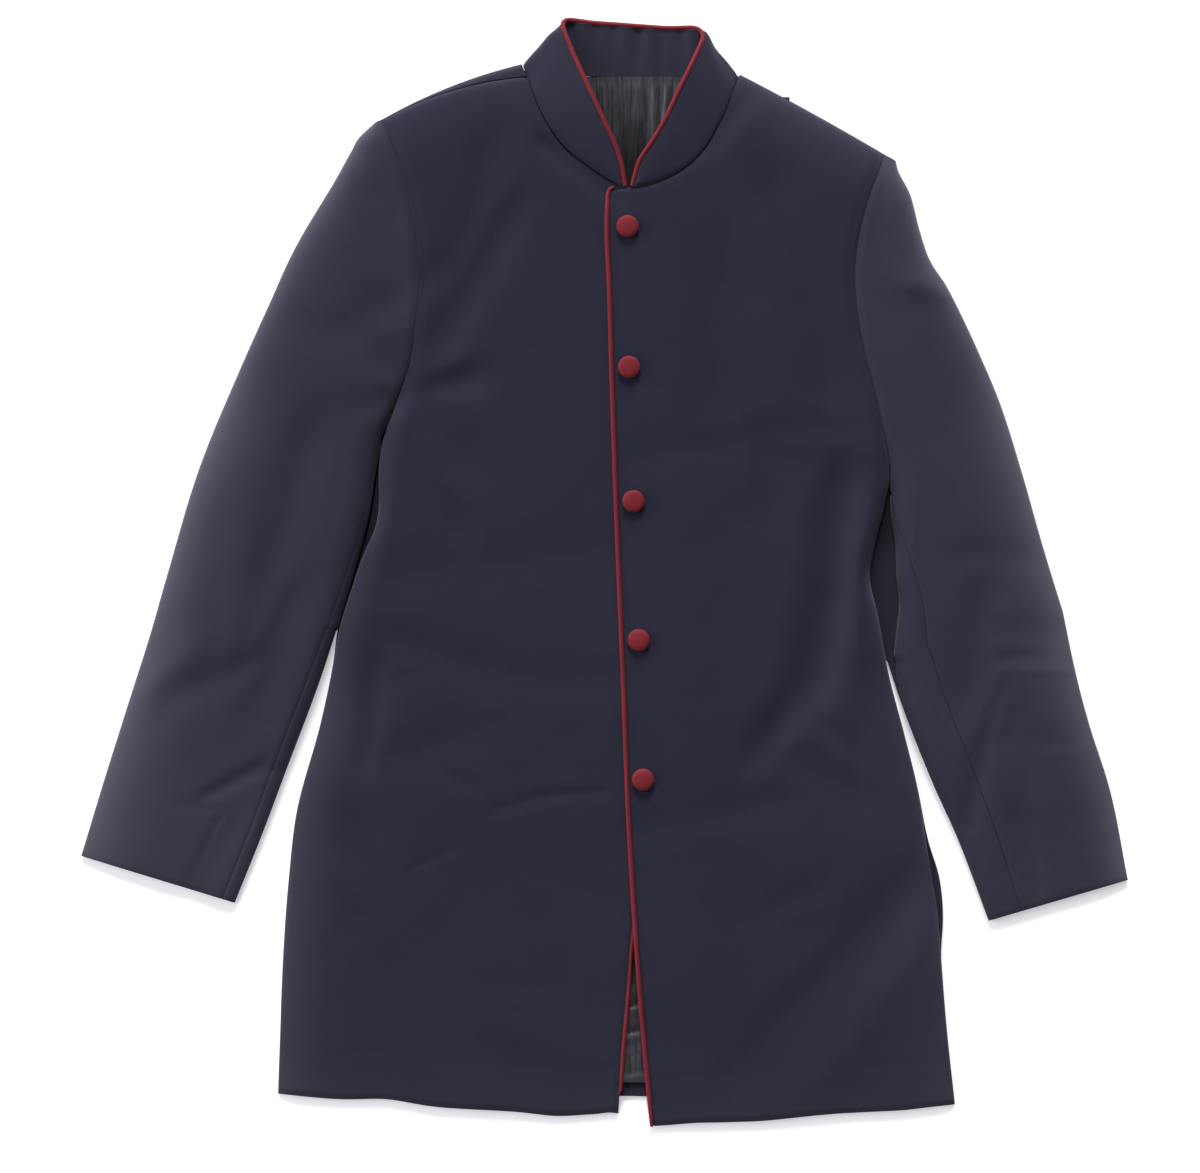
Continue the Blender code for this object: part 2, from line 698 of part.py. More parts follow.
def sleeve_height(station, place):
    """Height of a sleeve's upper side at a distance in from its outer edge."""
    outer, inner, height, roll, seam, edge, sewn = station
    width = np.linalg.norm(inner - outer)
    x, y = outer + (inner - outer) * place / width
    top = height + relief(x, y)
    outer_roll = min(1.7 * height, 0.55 * width)
    rounded = UPPER_EDGE + (top - UPPER_EDGE) * swell(place, outer_roll)
    return edge + (rounded - edge) * swell(width - place, min(roll, 0.4 * width))


def top_sleeve_skin(stations):
    skin = []
    for station in stations:
        outer, inner, height, roll, seam, edge, sewn = station
        width = np.linalg.norm(inner - outer)
        end = width if sewn else width - seam - SEAM_GAP
        outer_roll = min(1.7 * height, 0.55 * width)
        places = [outer_roll * (1 - math.cos(k / 4 * math.pi / 2)) for k in range(4)]
        places += list(steps(outer_roll, end, 6, 1.5 if width > 60 else 1.0))
        row = []
        for place in places:
            plan = outer + (inner - outer) * place / width
            row.append((*plan, sleeve_height(station, place)))
        skin.append(row)
    return np.array(skin)


def under_sleeve_skin(stations):
    """Grid on the underside, round the inner edge and up to the seam, below the armpit."""
    turn = [LOWER_EDGE * (1 - math.cos(k / 3 * math.pi / 2)) for k in range(4)]
    skin = []
    for station in stations:
        outer, inner, height, roll, seam, edge, sewn = station
        width = np.linalg.norm(inner - outer)
        narrow = min(1.0, 0.3 * width / LOWER_EDGE)
        row = [(place * narrow, curl(place, LOWER_EDGE)) for place in turn]
        row.append((width / 2, 0.0))
        if sewn:
            spread = min(14.0, 0.4 * width)
            row += [(width - spread * (1 - k / 7), 0.0) for k in range(8)]
        else:
            row += [(width - place, curl(place, LOWER_EDGE)) for place in reversed(turn)]
            for k in range(1, 5):
                place = width - seam * (k / 4) ** 2
                row.append((place, sleeve_height(station, place)))
        skin.append([(*(outer + (inner - outer) * place / width), z) for place, z in row])
    return np.array(skin)


def sleeve_normals(stations, skin, facing, up):
    """A sleeve's normals: level on the fold at its outer edge, and square to the cloth at its seam.

    On the armhole the edge is cut upright.
    """
    normals = skin_normals(skin, facing)
    normals[:, 0, 2] = 0
    for row, station in enumerate(stations):
        outer, inner, height, roll, seam, edge, sewn = station
        if sewn:
            normals[row, -1] = (0, 0, up)
            continue
        width = np.linalg.norm(inner - outer)
        place = width - seam
        slope = (sleeve_height(station, place + 0.5) - sleeve_height(station, place - 0.5))
        normals[row, -1] = (*(-slope * (inner - outer) / width), 1)
    return normals


# ---- collar ----
COLLAR_COLUMNS = 5
COLLAR_CROWN = 1.2  # how far the band bulges between its seam and its top edge


def collar_ends(front_right, front_left, back_right, back_left):
    """Seam and piping points of each section, from the band's right end round to the left."""
    right, left = len(RIGHT.sections), len(LEFT.sections)
    corner, next_up = front_left[-1, -1], front_left[-2, -1]
    parts = (
        (front_right[RIGHT.yoke + 1:right, -1], COLLAR_TOP_RIGHT, 0, 0),
        (back_right[right:-1, -1][::-1], COLLAR_FOLD_RIGHT, 1, 1),
        (
            np.concatenate([
                back_right[RIGHT.yoke:right, -1][::-3],
                back_left[LEFT.yoke + 3:left - 1:3, -1],
            ]),
            COLLAR_NAPE, 0, 0,
        ),
        (
            np.array([corner - (0, 0, SEAM_GAP), corner, (corner + next_up) / 2, next_up]),
            COLLAR_FOLD_LEFT, 1, 1,
        ),
        (front_left[LEFT.yoke + 1:left - 2, -1][::-1], COLLAR_TOP_LEFT, 0, 0),
    )
    seam, piping = [], []
    for points, line, before, after in parts:
        count = len(points) - 1 + before + after
        for step, point in enumerate(points):
            seam.append(point)
            piping.append(line.at((step + before) / count))
    return np.array(seam), np.array(piping)


def unit(vectors):
    return vectors / np.linalg.norm(vectors, axis=-1, keepdims=True)


def collar_skin(seam, piping):
    """Grid on the outer side of the collar band, from the neck seam to its piped edge.

    Its normals stay square to the seam and to the piping at the two edges.
    """
    across = unit(piping - seam)
    outwards = skin_normals(np.stack([seam, piping], axis=1), COLLAR_FACING)
    gaps = []
    for column, line in enumerate((seam, piping)):
        square = unit(np.cross(outwards[:, column], np.gradient(line, axis=0)))
        gaps.append(square * np.sign(np.sum(square * across, axis=1, keepdims=True)))
    start = seam + gaps[0] * COLLAR_GAP
    folded = [ease((10 - z) / 6) for z in piping[:, 2]]
    gap = PIPING_GAP + FOLD_GAP * np.array(folded)
    end = piping - gaps[1] * (PIPING_RADIUS + gap)[:, None]
    shares = np.linspace(0, 1, COLLAR_COLUMNS + 1)
    skin = start[:, None] + (end - start)[:, None] * shares[None, :, None]
    crown = [[COLLAR_CROWN * ease((z - 6) / 8) for z in row] for row in skin[:, :, 2]]
    bulge = np.array(crown) * 4 * shares * (1 - shares)
    skin = skin + skin_normals(skin, COLLAR_FACING) * bulge[:, :, None]
    normals = skin_normals(skin, COLLAR_FACING)
    normals[:, [0, -1]] = outwards
    return skin, normals


# ---- buttons ----
BUTTONS = ((19.2, 287), (20.4, 170), (24, 58.5), (28.5, -57), (32, -173))  # x, y of each middle


def seat_on_front(x, y):
    """Where a button lies on the left front: a place just above the cloth, and the way up."""
    def height(px, py):
        return body_height(px, py) + overlap_lift(px, py)

    reach = BUTTON_RADIUS
    slope_x = (height(x + reach, y) - height(x - reach, y)) / (2 * reach)
    slope_y = (height(x, y + reach) - height(x, y - reach)) / (2 * reach)
    normal = np.array([-slope_x, -slope_y, 1.0])
    normal /= np.linalg.norm(normal)
    return np.array([x, y, height(x, y)]) + normal * BUTTON_GAP, normal


def main():
    for thing in list(bpy.data.objects):
        bpy.data.objects.remove(thing)
    navy = make_material("navy_wool", "#2e2d3b", 0.8)
    satin = make_material("charcoal_satin", "#3a393f", 0.45)
    maroon = make_material("maroon_satin", "#71262b", 0.6)

    front_right = front_skin(RIGHT, EDGE_RIGHT, NECK_RIGHT, FRONT_CORNER_RIGHT)
    front_left = front_skin(LEFT, EDGE_LEFT, NECK_LEFT, FRONT_CORNER_LEFT)
    back_right = back_skin(RIGHT, NECK_BACK_RIGHT)
    back_left = back_skin(LEFT, NECK_BACK_LEFT)
    for half, front, back in ((RIGHT, front_right, back_right), (LEFT, front_left, back_left)):
        normals = front_normals(half, front)
        add_wall("front_" + half.name, front, normals, FRONT_WALL, -half.sign, navy)
        normals = back_normals(half, back)
        add_wall("back_" + half.name, back, normals, BACK_WALL, half.sign, navy)
    skin = lining_skin()
    add_wall("back_lining", skin, skin_normals(skin, 1), LINING_WALL, 1, satin)
    for half, lower, upper in (
        (RIGHT, SLEEVE_RIGHT_LOWER, SLEEVE_RIGHT_UPPER),
        (LEFT, SLEEVE_LEFT_LOWER, SLEEVE_LEFT_UPPER),
    ):
        stations = sleeve_stations(half, lower, upper)
        for layer, skin, facing, up in (
            ("_top", top_sleeve_skin(stations), -half.sign, 1),
            ("_under", under_sleeve_skin(stations), half.sign, -1),
        ):
            normals = sleeve_normals(stations, skin, facing, up)
            add_wall("sleeve_" + half.name + layer, skin, normals, SLEEVE_WALL, facing, navy)

    seam, piping = collar_ends(front_right, front_left, back_right, back_left)
    skin, normals = collar_skin(seam, piping)
    add_wall("collar", skin, normals, COLLAR_WALL, COLLAR_FACING, navy)
    inner = inner_side(skin, normals, COLLAR_WALL)
    add_tube("collar_piping", piping + (inner[:, -1] - skin[:, -1]) / 2, maroon)

    reach = np.array([PIPING_RADIUS + SEAM_GAP, 0.0, 0.0])
    path = front_left[:LEFT.yoke + 1, -1] - reach - (0, 0, PIPING_DROP_LEFT)
    add_tube("front_left_piping", path, maroon)
    path = front_right[:RIGHT.yoke + 1, -1] + reach
    for place in path:
        place[2] -= PIPING_RADIUS * (1 - 0.5 * ease((PARTING - place[1]) / 30))
    add_tube("front_right_piping", path, maroon)
    for number, (x, y) in enumerate(BUTTONS, 1):
        centre, normal = seat_on_front(x, y)
        add_button(f"button_{number}", centre, normal, maroon)


main()
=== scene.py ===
# %% [markdown]
# # A band-collar suit jacket, laid flat
# This lesson dresses a long navy jacket that lies on its back on a white surface. Its construction
# is already made as solids, and they are loaded as a fixed frame. Here each panel of cloth is made
# again on the same outline, but with a point every few millimetres, so that it can hold soft folds,
# sewn edges and turned hems. Seen from above, +X is to the right, which is the wearer's left side,
# +Y runs to the collar and +Z is up. Sizes are in millimetres until a mesh is made.

# %% Load the frame
import math

import bpy
import numpy as np
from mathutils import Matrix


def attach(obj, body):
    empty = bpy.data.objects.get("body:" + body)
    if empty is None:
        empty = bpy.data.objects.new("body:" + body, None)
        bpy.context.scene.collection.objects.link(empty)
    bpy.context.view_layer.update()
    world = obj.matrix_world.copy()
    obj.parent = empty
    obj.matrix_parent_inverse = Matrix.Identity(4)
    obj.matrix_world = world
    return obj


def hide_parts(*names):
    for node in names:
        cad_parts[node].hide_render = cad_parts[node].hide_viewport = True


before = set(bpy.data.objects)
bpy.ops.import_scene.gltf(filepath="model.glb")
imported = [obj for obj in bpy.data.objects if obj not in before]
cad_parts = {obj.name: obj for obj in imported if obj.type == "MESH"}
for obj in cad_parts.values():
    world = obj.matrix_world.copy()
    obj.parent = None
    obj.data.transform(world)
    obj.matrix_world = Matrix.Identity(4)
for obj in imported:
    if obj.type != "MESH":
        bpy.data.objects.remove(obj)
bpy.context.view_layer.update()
MM = 0.001
print("nodes:", len(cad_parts))

# %% [markdown]
# ## The camera
# The jacket was seen from straight above, so the camera looks down -Z. A long lens far above keeps
# the raised parts from leaning outwards, as a catalogue photographer does.

# %% Camera
VIEW_WIDTH = 1.0  # metres of the surface across the picture
VIEW_MIDDLE = (-0.00375, -0.0125)  # metres, the place under the lens
CAMERA_HEIGHT = 8.0
SENSOR = 36.0  # mm

camera_data = bpy.data.cameras.new("camera")
camera_data.sensor_width = SENSOR
camera_data.lens = SENSOR * CAMERA_HEIGHT / VIEW_WIDTH
camera = bpy.data.objects.new("camera", camera_data)
camera.location = (*VIEW_MIDDLE, CAMERA_HEIGHT)
bpy.context.scene.collection.objects.link(camera)
bpy.context.scene.camera = camera
print("lens, mm:", round(camera_data.lens, 1))

# %% [markdown]
# ## Reading a pattern
# A maker keeps a pattern as a few measures and joins them with a curve. Two small classes do the
# same: a table is read at any height, and a line at any share of its length. Both pass smoothly
# through their rows, so a panel may have as many points as it needs.

# %% Smooth tables and lines
def smooth(keys, values, at):
    """Values on a smooth curve through the rows that stand at the keys."""
    keys, values, at = (np.asarray(a, dtype=float) for a in (keys, values, at))
    slopes = np.gradient(values, keys, axis=0)
    i = np.clip(np.searchsorted(keys, at) - 1, 0, len(keys) - 2)
    span = keys[i + 1] - keys[i]
    t = (at - keys[i]) / span
    if values.ndim > 1:
        t, span = t[..., None], span[..., None]
    start = (1 + 2 * t) * (1 - t) ** 2 * values[i] + t * (1 - t) ** 2 * span * slopes[i]
    end = t * t * (3 - 2 * t) * values[i + 1] + t * t * (t - 1) * span * slopes[i + 1]
    return start + end


class Table:
    """Rows of named columns, read between the rows by the value of the first column."""

    def __init__(self, columns, *rows):
        self.columns = columns.split()
        self.rows = np.array(rows, dtype=float)

    def at(self, key, column):
        return smooth(self.rows[:, 0], self.rows[:, self.columns.index(column)], key)


class Line:
    """A smooth line through points, read by the share of its length, from 0 to 1."""

    def __init__(self, *points):
        self.points = np.array(points, dtype=float)
        steps = np.linalg.norm(np.diff(self.points, axis=0), axis=1)
        self.shares = np.concatenate([[0.0], np.cumsum(steps)]) / steps.sum()

    def at(self, share):
        return smooth(self.shares, self.points, share)


def ease(t):
    """0 to 1 with soft ends, as t goes from 0 to 1."""
    t = np.clip(t, 0.0, 1.0)
    return t * t * (3 - 2 * t)


def swell(distance, width):
    """How far a rounded edge has risen at this distance in from it: 0 at the edge, then 1."""
    left = 1 - np.clip(np.asarray(distance) / width, 0.0, 1.0)
    return np.sqrt(1 - left * left)


def curl(distance, height):
    """Height of an edge that turns up as a quarter circle."""
    left = 1 - np.clip(np.asarray(distance) / np.maximum(height, 0.01), 0.0, 1.0)
    return height * (1 - np.sqrt(1 - left * left))


def dip(distance, width):
    """1 on a line, fading to 0 over about this width beside it."""
    return np.exp(-((np.asarray(distance) / width) ** 2))


def arch(share):
    """0 at both ends of a span and 1 in its middle."""
    return 4 * share * (1 - share)


print("ease, dip and arch at a quarter:", ease(0.25), round(float(dip(0.25, 1)), 3), arch(0.25))

# %% [markdown]
# ## The outline
# These are the same measures as the solids': where the sides, the front edges, the neck and the
# shoulders lie. `edge` is the height of the upper layer's edge, at the floor along the free side
# and up on the armhole seam, and `roll` is the width of its rounding.

# %% Measures of the body
SEAM_GAP = 0.3
TUCK = 0.5  # how far sewn or pressed edges reach into their neighbour
VALLEY_WALL = 8.0  # width of the steep side of a valley
SHOULDER_GAP = 0.75  # between the right front and the back, at the shoulder seam
FRONT_WALL = 2.0  # cloth, canvas and facing
BACK_WALL = 1.6
SLEEVE_WALL = 1.6
FOLD_EDGE = 3.0  # height of the side fold, where front and back meet
UPPER_EDGE = FOLD_EDGE + SEAM_GAP / 2
LOWER_EDGE = FOLD_EDGE - SEAM_GAP / 2
SEWN_EDGE = 2 * SLEEVE_WALL + 2 * SEAM_GAP  # lowest place of a sleeve's cap, over its under side
CENTRE_BACK = 22.0  # x of the centre seam
NAPE = 411.0  # y of the neck and of the hem on that seam
HEM_CENTRE = -437.0
SHOULDER_FOLD = 5.5  # radius of the right shoulder's fold
SHOULDER_ROLL = 46.0  # how far in from the shoulder the front is full height
PIPING_RADIUS = 1.9
NECK_CORNER = np.array([0.0, -1.6])  # the left back's corner keeps this far off the collar's fold
FRONT_CORNER_RIGHT = (37.8, 316.5)
FRONT_CORNER_LEFT = (4.8, 316.0)
FREE_BELOW = -60.0  # y below which the sides of the body lie free of the sleeves

SIDE_RIGHT = Table(
    "y x back_x edge roll",
    (-435, -272, -271, 3.1, 14),
    (-379, -270, -270, 3.1, 18),
    (-325, -268, -268, 3.1, 20),
    (-255, -263, -263, 3.1, 24),
    (-203, -257, -257, 3.1, 26),
    (-124, -236, -236, 3.1, 26),
    (-76, -226, -226, 3.1, 24),
    (-47, -222, -222, 3.1, 24),
    (-12, -212, -212, 3.1, 24),
    (49, -196, -196, 3.1, 22),
    (87, -190, -190, 3.1, 20),
    (119, -182, -182, 5.0, 20),
    (145, -172, -172, 9.0, 18),
    (173, -162.5, -162.5, 13.0, 16),
    (205, -158, -158, 16.0, 14),
    (240, -155, -155, 17.0, 14),
    (269, -156, -156, 17.3, 14),
    (304, -162.5, -162.5, 17.3, 14),
    (339, -171.5, -171.5, 16.0, 14),
    (376, -186, -186, 15.0, 14),
)
SIDE_LEFT = Table(
    "y x back_x edge roll",
    (-444, 292, 290, 3.1, 14),
    (-379, 285, 284, 3.1, 18),
    (-316, 280, 280.5, 3.1, 20),
    (-285, 277.5, 282, 3.1, 20),
    (-255, 272.5, 279, 3.1, 22),
    (-225, 268, 270, 3.1, 22),
    (-181, 261, 261, 3.1, 24),
    (-140, 251, 251, 3.1, 26),
    (-82, 236, 236, 3.1, 28),
    (-38, 228, 228, 3.1, 30),
    (-3, 221, 221, 3.1, 30),
    (24, 225.5, 225.5, 3.1, 26),
    (53, 233, 233, 3.1, 20),
    (75, 237, 237, 6.0, 18),
    (94, 236.5, 236.5, 10.0, 16),
    (119, 232, 232, 14.0, 14),
    (148, 226, 226, 16.5, 14),
    (202, 213, 213, 17.3, 14),
    (253, 209, 209, 17.3, 14),
    (304, 218, 218, 17.0, 14),
    (347, 234, 234, 15.0, 14),
)
# Middle of the piping, up the left front's edge and up the right front's.
EDGE_LEFT = Table(
    "y x",
    (-462, 39.3), (-395, 33), (-299, 25.4), (-210, 20), (-92, 15.4), (30, 10.4),
    (157, 6), (240, 3.6), (283, 1.8), (316, 2.6),
)
EDGE_RIGHT = Table(
    "y x",
    (-452, 13), (-408, 15.4), (-354, 20), (-303, 24), (-235, 36), (-172, 42), (-60, 48),
    (100, 45.5), (240, 42), (316, 40),
)
CROWN = Table(
    "y z",
    (-462, 6.3), (-380, 8.5), (-300, 11), (-200, 14), (-100, 16), (0, 17), (100, 18.5),
    (200, 19.5), (300, 19.5), (430, 17.5),
)
NECK_RIGHT = Line(
    (13.5, 320.8), (1, 327), (-15, 338), (-32, 351), (-43, 365), (-52.5, 381), (-60, 399),
    (-64.8, 412),
)
NECK_LEFT = Line(
    (26, 319.4), (36, 321), (48, 325), (65, 334), (80, 347), (91, 365), (100, 382), (106.5, 399),
    (112.5, 413.5),
)
NECK_BACK_RIGHT = Line((CENTRE_BACK, NAPE), (-20, 412.5), (-50, 415), (-67, 418))
NECK_BACK_LEFT = Line((CENTRE_BACK, NAPE), (60, 411.5), (95, 413), (112.5, 413.5))
print("rows of the sides:", len(SIDE_RIGHT.rows), len(SIDE_LEFT.rows))

# %% [markdown]
# ## Folds
# Cloth that lies flat keeps the marks of how it was worn and put down. Each fold is a soft trough or
# ridge between two places, with a width and a height, below 0 for a trough. Listing them keeps each one
# where the photograph shows it, which a cloth simulation would not. The first table holds the largest
# folds, which the solids have too, though less deep. The second holds the finer creases.

# %% The largest folds
FOLDS = Table(
    "x y to_x to_y width height",
    (-87, 363, -137, 205, 15, -1.2),  # right front, drag from the shoulder
    (-137, 250, -174, 226, 16, -1.4),
    (-170, 172, -120, 88, 16, -1.8),
    (-178, 147, -128, 74, 12, 1.5),
    (-187, -4, -12, 17, 18, -0.7),
    (-176, -58, -94, -84, 13, -1.2),
    (-162, -153, -129, -141, 14, -1.2),
    (-100, -88, 5, -91, 13, -0.9),
    (-216, -200, -122, -400, 16, -2.6),
    (-140, -390, -4, -430, 13, -1.8),
    (130, 335, 205, 143, 15, -1.9),  # left front
    (100, 251, 96, 143, 18, -1.0),
    (38, 97, 213, 122, 14, -0.9),
    (196, 76, 186, -30, 14, -4.2),
    (187, -24, 170, -96, 14, -4.4),
    (172, -88, 132, -146, 12, -3.2),
    (214, 30, 207, -76, 12, 2.2),
    (138, -149, 213, -190, 14, -1.1),
    (30, -216, 155, -190, 15, -1.0),
    (117, -291, 163, -270, 14, -1.2),
    (267, -257, 155, -390, 20, -2.6),
    (-200, 318, -171, 240, 12, -1.6),  # right sleeve
    (-318, 40, -330, -98, 13, -1.2),
    (-246, 113, -287, -24, 16, -1.8),
    (-262, -24, -283, -98, 14, -1.6),
    (-360, -104, -287, -74, 11, -1.9),
    (-378, -98, -345, -66, 11, 1.6),
    (-312, -215, -340, -261, 9, -1.2),
    (279, 234, 262, 238, 9, 2.4),  # left sleeve
    (306, 12, 388, 10, 11, -1.1),
    (320, -10, 304, -104, 14, -1.4),
    (322, -47, 404, -56, 11, -1.2),
    (342, -120, 359, -162, 10, -1.2),
)

# %% The finer creases
CREASES = Table(
    "x y to_x to_y width height",
    (-75, 300, -140, 185, 14, -1.9),  # right front, from the chest to the armhole
    (-112, 160, -184, 142, 11, -2.4),
    (-165, 112, -118, 25, 14, -1.0),
    (-188, -92, -140, -80, 8, -0.9),
    (-125, -68, -76, -75, 5, -0.6),
    (-188, -72, -199, -158, 10, -1.6),
    (-160, -153, -110, -180, 6, -1.2),
    (-92, -199, -50, -187, 5, -1.0),
    (-62, -188, 6, -183, 4, -1.2),
    (-167, -251, -121, -228, 5, -0.9),
    (-206, -276, -140, -380, 14, -1.6),
    (-86, -341, -34, -345, 10, -0.9),
    (-50, -250, -4, -272, 14, -0.7),
    (-92, -262, -8, -380, 34, -0.5),
    (-52, 358, 10, 310, 7, -2.4),
    (126, 406, 88, 358, 9, -2.6),  # left front, beside the collar
    (140, 320, 158, 262, 12, -1.2),
    (158, 272, 191, 140, 11, -2.2),
    (115, 230, 122, 165, 14, -1.0),
    (38, 101, 100, 106, 4, -0.5),
    (96, 105, 208, 140, 5, -0.7),
    (134, 98, 140, 58, 14, -1.2),
    (138, 94, 206, 60, 15, -0.9),
    (218, 52, 205, -110, 16, 1.2),
    (132, 98, 212, 84, 12, -1.2),
    (60, -236, 160, -306, 34, -0.5),
    (170, -98, 134, -142, 6, -1.4),
    (215, 30, 206, -62, 6, 1.2),
    (172, -118, 210, -150, 8, -1.3),
    (208, -142, 214, -192, 8, -0.9),
    (28, -216, 90, -206, 5, -0.6),
    (84, -207, 166, -187, 6, -1.0),
    (115, -301, 140, -278, 5, -0.9),
    (136, -280, 166, -269, 5, -0.8),
    (160, -296, 215, -300, 14, -0.9),
    (266, -258, 196, -348, 11, -2.2),
    (272, -286, 178, -412, 22, 1.0),
    (214, -326, 110, -422, 14, -1.3),
    (-208, 348, -199, 288, 6, -1.2),  # right sleeve, under the cap
    (-200, 304, -170, 240, 6, -1.4),
    (-202, 352, -169, 292, 4, -1.1),
    (-205, 240, -182, 190, 4, -0.8),
    (-258, 203, -224, 200, 14, -0.9),
    (-279, 66, -290, -44, 9, -1.2),
    (-289, -36, -309, -94, 8, -0.9),
    (-341, 4, -325, -60, 4, -0.9),
    (-371, -126, -356, -97, 7, -0.9),
    (-302, -116, -277, -129, 4, -1.2),
    (-333, -188, -285, -162, 5, -1.7),
    (-300, -168, -256, -165, 4, -1.0),
    (-352, -194, -323, -198, 4, -0.8),
    (-318, -201, -346, -263, 4, -1.5),
    (315, -75, 366, -70, 8, -1.2),  # left sleeve, from the elbow down
    (327, -80, 394, -84, 4, 0.9),
    (331, -97, 315, -145, 7, -1.3),
    (318, -138, 301, -217, 7, -1.7),
    (336, -139, 382, -146, 10, -0.9),
    (369, -153, 407, -149, 4, 0.7),
    (345, -208, 354, -236, 7, -1.8),
    (352, -228, 360, -262, 6, -1.4),
)
print("folds and creases:", len(FOLDS.rows), len(CREASES.rows))

# %% [markdown]
# Folds that meet should melt into one another, and not add up to a pit where they cross. So the
# troughs are joined by a power mean, which stays near the deepest of them, and so are the ridges. A
# fold fades like a bell to its sides and more slowly past its ends. No trough goes deeper than the
# room that the layers below leave.

# %% The height of folds
FOLD_DEPTH = 0.8  # a narrow crease is drawn this much as deep as its row says
WIDE_FOLD = 11.0  # and a wide one deeper: once more for each of these, in mm
FOLD_SPREAD = 1.25  # folds are this much wider than their rows say, as wool is thick and soft
FOLD_END = 0.12  # share of a fold's length at each end over which it starts to fade
SLOW_END = 0.55  # distance past its end counts for this much of distance to its side
BLEND = 3  # the power of the mean
LEAST_ROOM = 0.8
LAYERS_BELOW = 5.5  # back, lining and the front itself


def relief(x, y, room):
    """Height of all folds at some places, no deeper than the room over what lies below."""
    troughs, ridges = np.zeros(np.shape(x)), np.zeros(np.shape(x))
    for x0, y0, x1, y1, width, height in np.concatenate([FOLDS.rows, CREASES.rows]):
        along_x, along_y = x1 - x0, y1 - y0
        length = math.hypot(along_x, along_y)
        share = ((x - x0) * along_x + (y - y0) * along_y) / length**2
        off = ((x - x0) * along_y - (y - y0) * along_x) / length
        past = length * (share - np.clip(share, FOLD_END, 1 - FOLD_END))
        away = np.hypot(off, SLOW_END * past)
        size = abs(height) * (FOLD_DEPTH + width / WIDE_FOLD) * dip(away, FOLD_SPREAD * width)
        if height < 0:
            troughs += size**BLEND
        else:
            ridges += size**BLEND
    room = np.maximum(room, LEAST_ROOM)
    troughs = room * np.tanh(troughs ** (1 / BLEND) / room)
    return ridges ** (1 / BLEND) - troughs


RIPPLES = Table(  # slow waves in the cloth: turns in radians a mm, across and along, and height
    "across_x across_y height",
    (0.031, 0.012, 0.22), (-0.017, 0.026, 0.24), (0.052, -0.021, 0.14), (0.011, 0.059, 0.12),
    (0.112, 0.041, 0.09), (-0.087, 0.101, 0.07), (0.193, 0.037, 0.045), (-0.151, -0.118, 0.045),
)
OUT_OF_STEP = 100  # shifts the waves against each other, so that they don't all start at the origin


def ripple(x, y):
    """The slow unevenness of cloth that nobody has pressed."""
    total = np.zeros(np.shape(x))
    for across_x, across_y, height in RIPPLES.rows:
        total += height * np.sin(across_x * x + across_y * y + OUT_OF_STEP * across_x)
    return total


def body_height(x, y):
    """Height of the upper side of the body, where no edge rounds it down."""
    crown = CROWN.at(y, "z")
    return crown + relief(x, y, crown - LAYERS_BELOW) + ripple(x, y)


print("body height at the waist, mm:", round(float(body_height(np.array([0.0]), np.array([0.0]))[0]), 2))

# %% [markdown]
# ## Meshes from grids
# A panel is a grid of points on its outer side. Its inner side is the same grid moved in along the
# normals, and a rim joins the two, so each panel is a thin closed shell, as a cut piece of cloth
# is. Blender's Solidify modifier could add the thickness, but the rim here is turned by hand:
# level where two layers meet in a fold, upright at an armhole seam.

# %% Helpers for meshes
SEAM_ANGLE = 40  # degrees: sharper turns than this are drawn as an edge
CORD_ANGLE = 80


def unit(vectors):
    return vectors / np.linalg.norm(vectors, axis=-1, keepdims=True)


def grid_normals(skin, facing):
    """Unit normals of a grid of points, from the faces round each, turned to its outer side."""
    across = np.diff(skin, axis=1)
    along = np.diff(skin, axis=0)
    faces = unit(np.cross(across[:-1] + across[1:], along[:, :-1] + along[:, 1:]))
    total = np.zeros_like(skin)
    for down in (0, 1):
        for right in (0, 1):
            total[down:down + len(faces), right:right + faces.shape[1]] += faces
    return facing * unit(total)


def add_mesh(name, points, faces, material, sharp=SEAM_ANGLE):
    """A smooth-shaded object from points in millimetres."""
    mesh = bpy.data.meshes.new(name)
    mesh.from_pydata((np.asarray(points) * MM).tolist(), [], faces)
    mesh.materials.append(material)
    mesh.shade_smooth()
    mesh.set_sharp_from_angle(angle=math.radians(sharp))
    thing = bpy.data.objects.new(name, mesh)
    bpy.context.scene.collection.objects.link(thing)
    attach(thing, "root")
    return thing


def add_shell(name, skin, normals, thickness, facing, material, painted_light_and_shade=None):
    """A closed shell of cloth from a grid on its outer side. Its last argument, from -1 to 1, is painted
    light and shade: paler above 0, mostly a painted sheen, and painted shade below 0.
    """
    inner = skin - thickness * unit(normals)
    rows, columns = skin.shape[:2]
    points = np.concatenate([skin.reshape(-1, 3), inner.reshape(-1, 3)])
    index = np.arange(rows * columns).reshape(rows, columns)
    quads = np.stack([index[:-1, :-1], index[:-1, 1:], index[1:, 1:], index[1:, :-1]], axis=-1)
    quads = quads.reshape(-1, 4)
    rim = np.concatenate([index[0], index[1:, -1], index[-1, -2::-1], index[-2:0:-1, 0]])
    after = np.roll(rim, -1)
    offset = rows * columns
    walls = np.stack([after, rim, rim + offset, after + offset], axis=-1)
    faces = np.concatenate([quads, quads[:, ::-1] + offset, walls])
    if facing < 0:
        faces = faces[:, ::-1]
    shell = add_mesh(name, points, faces.tolist(), material)
    if painted_light_and_shade is not None:
        layer = shell.data.attributes.new("painted_light_and_shade", "FLOAT", "POINT")
        layer.data.foreach_set("value", np.tile(painted_light_and_shade.ravel(), 2).astype(np.float32))
    return shell


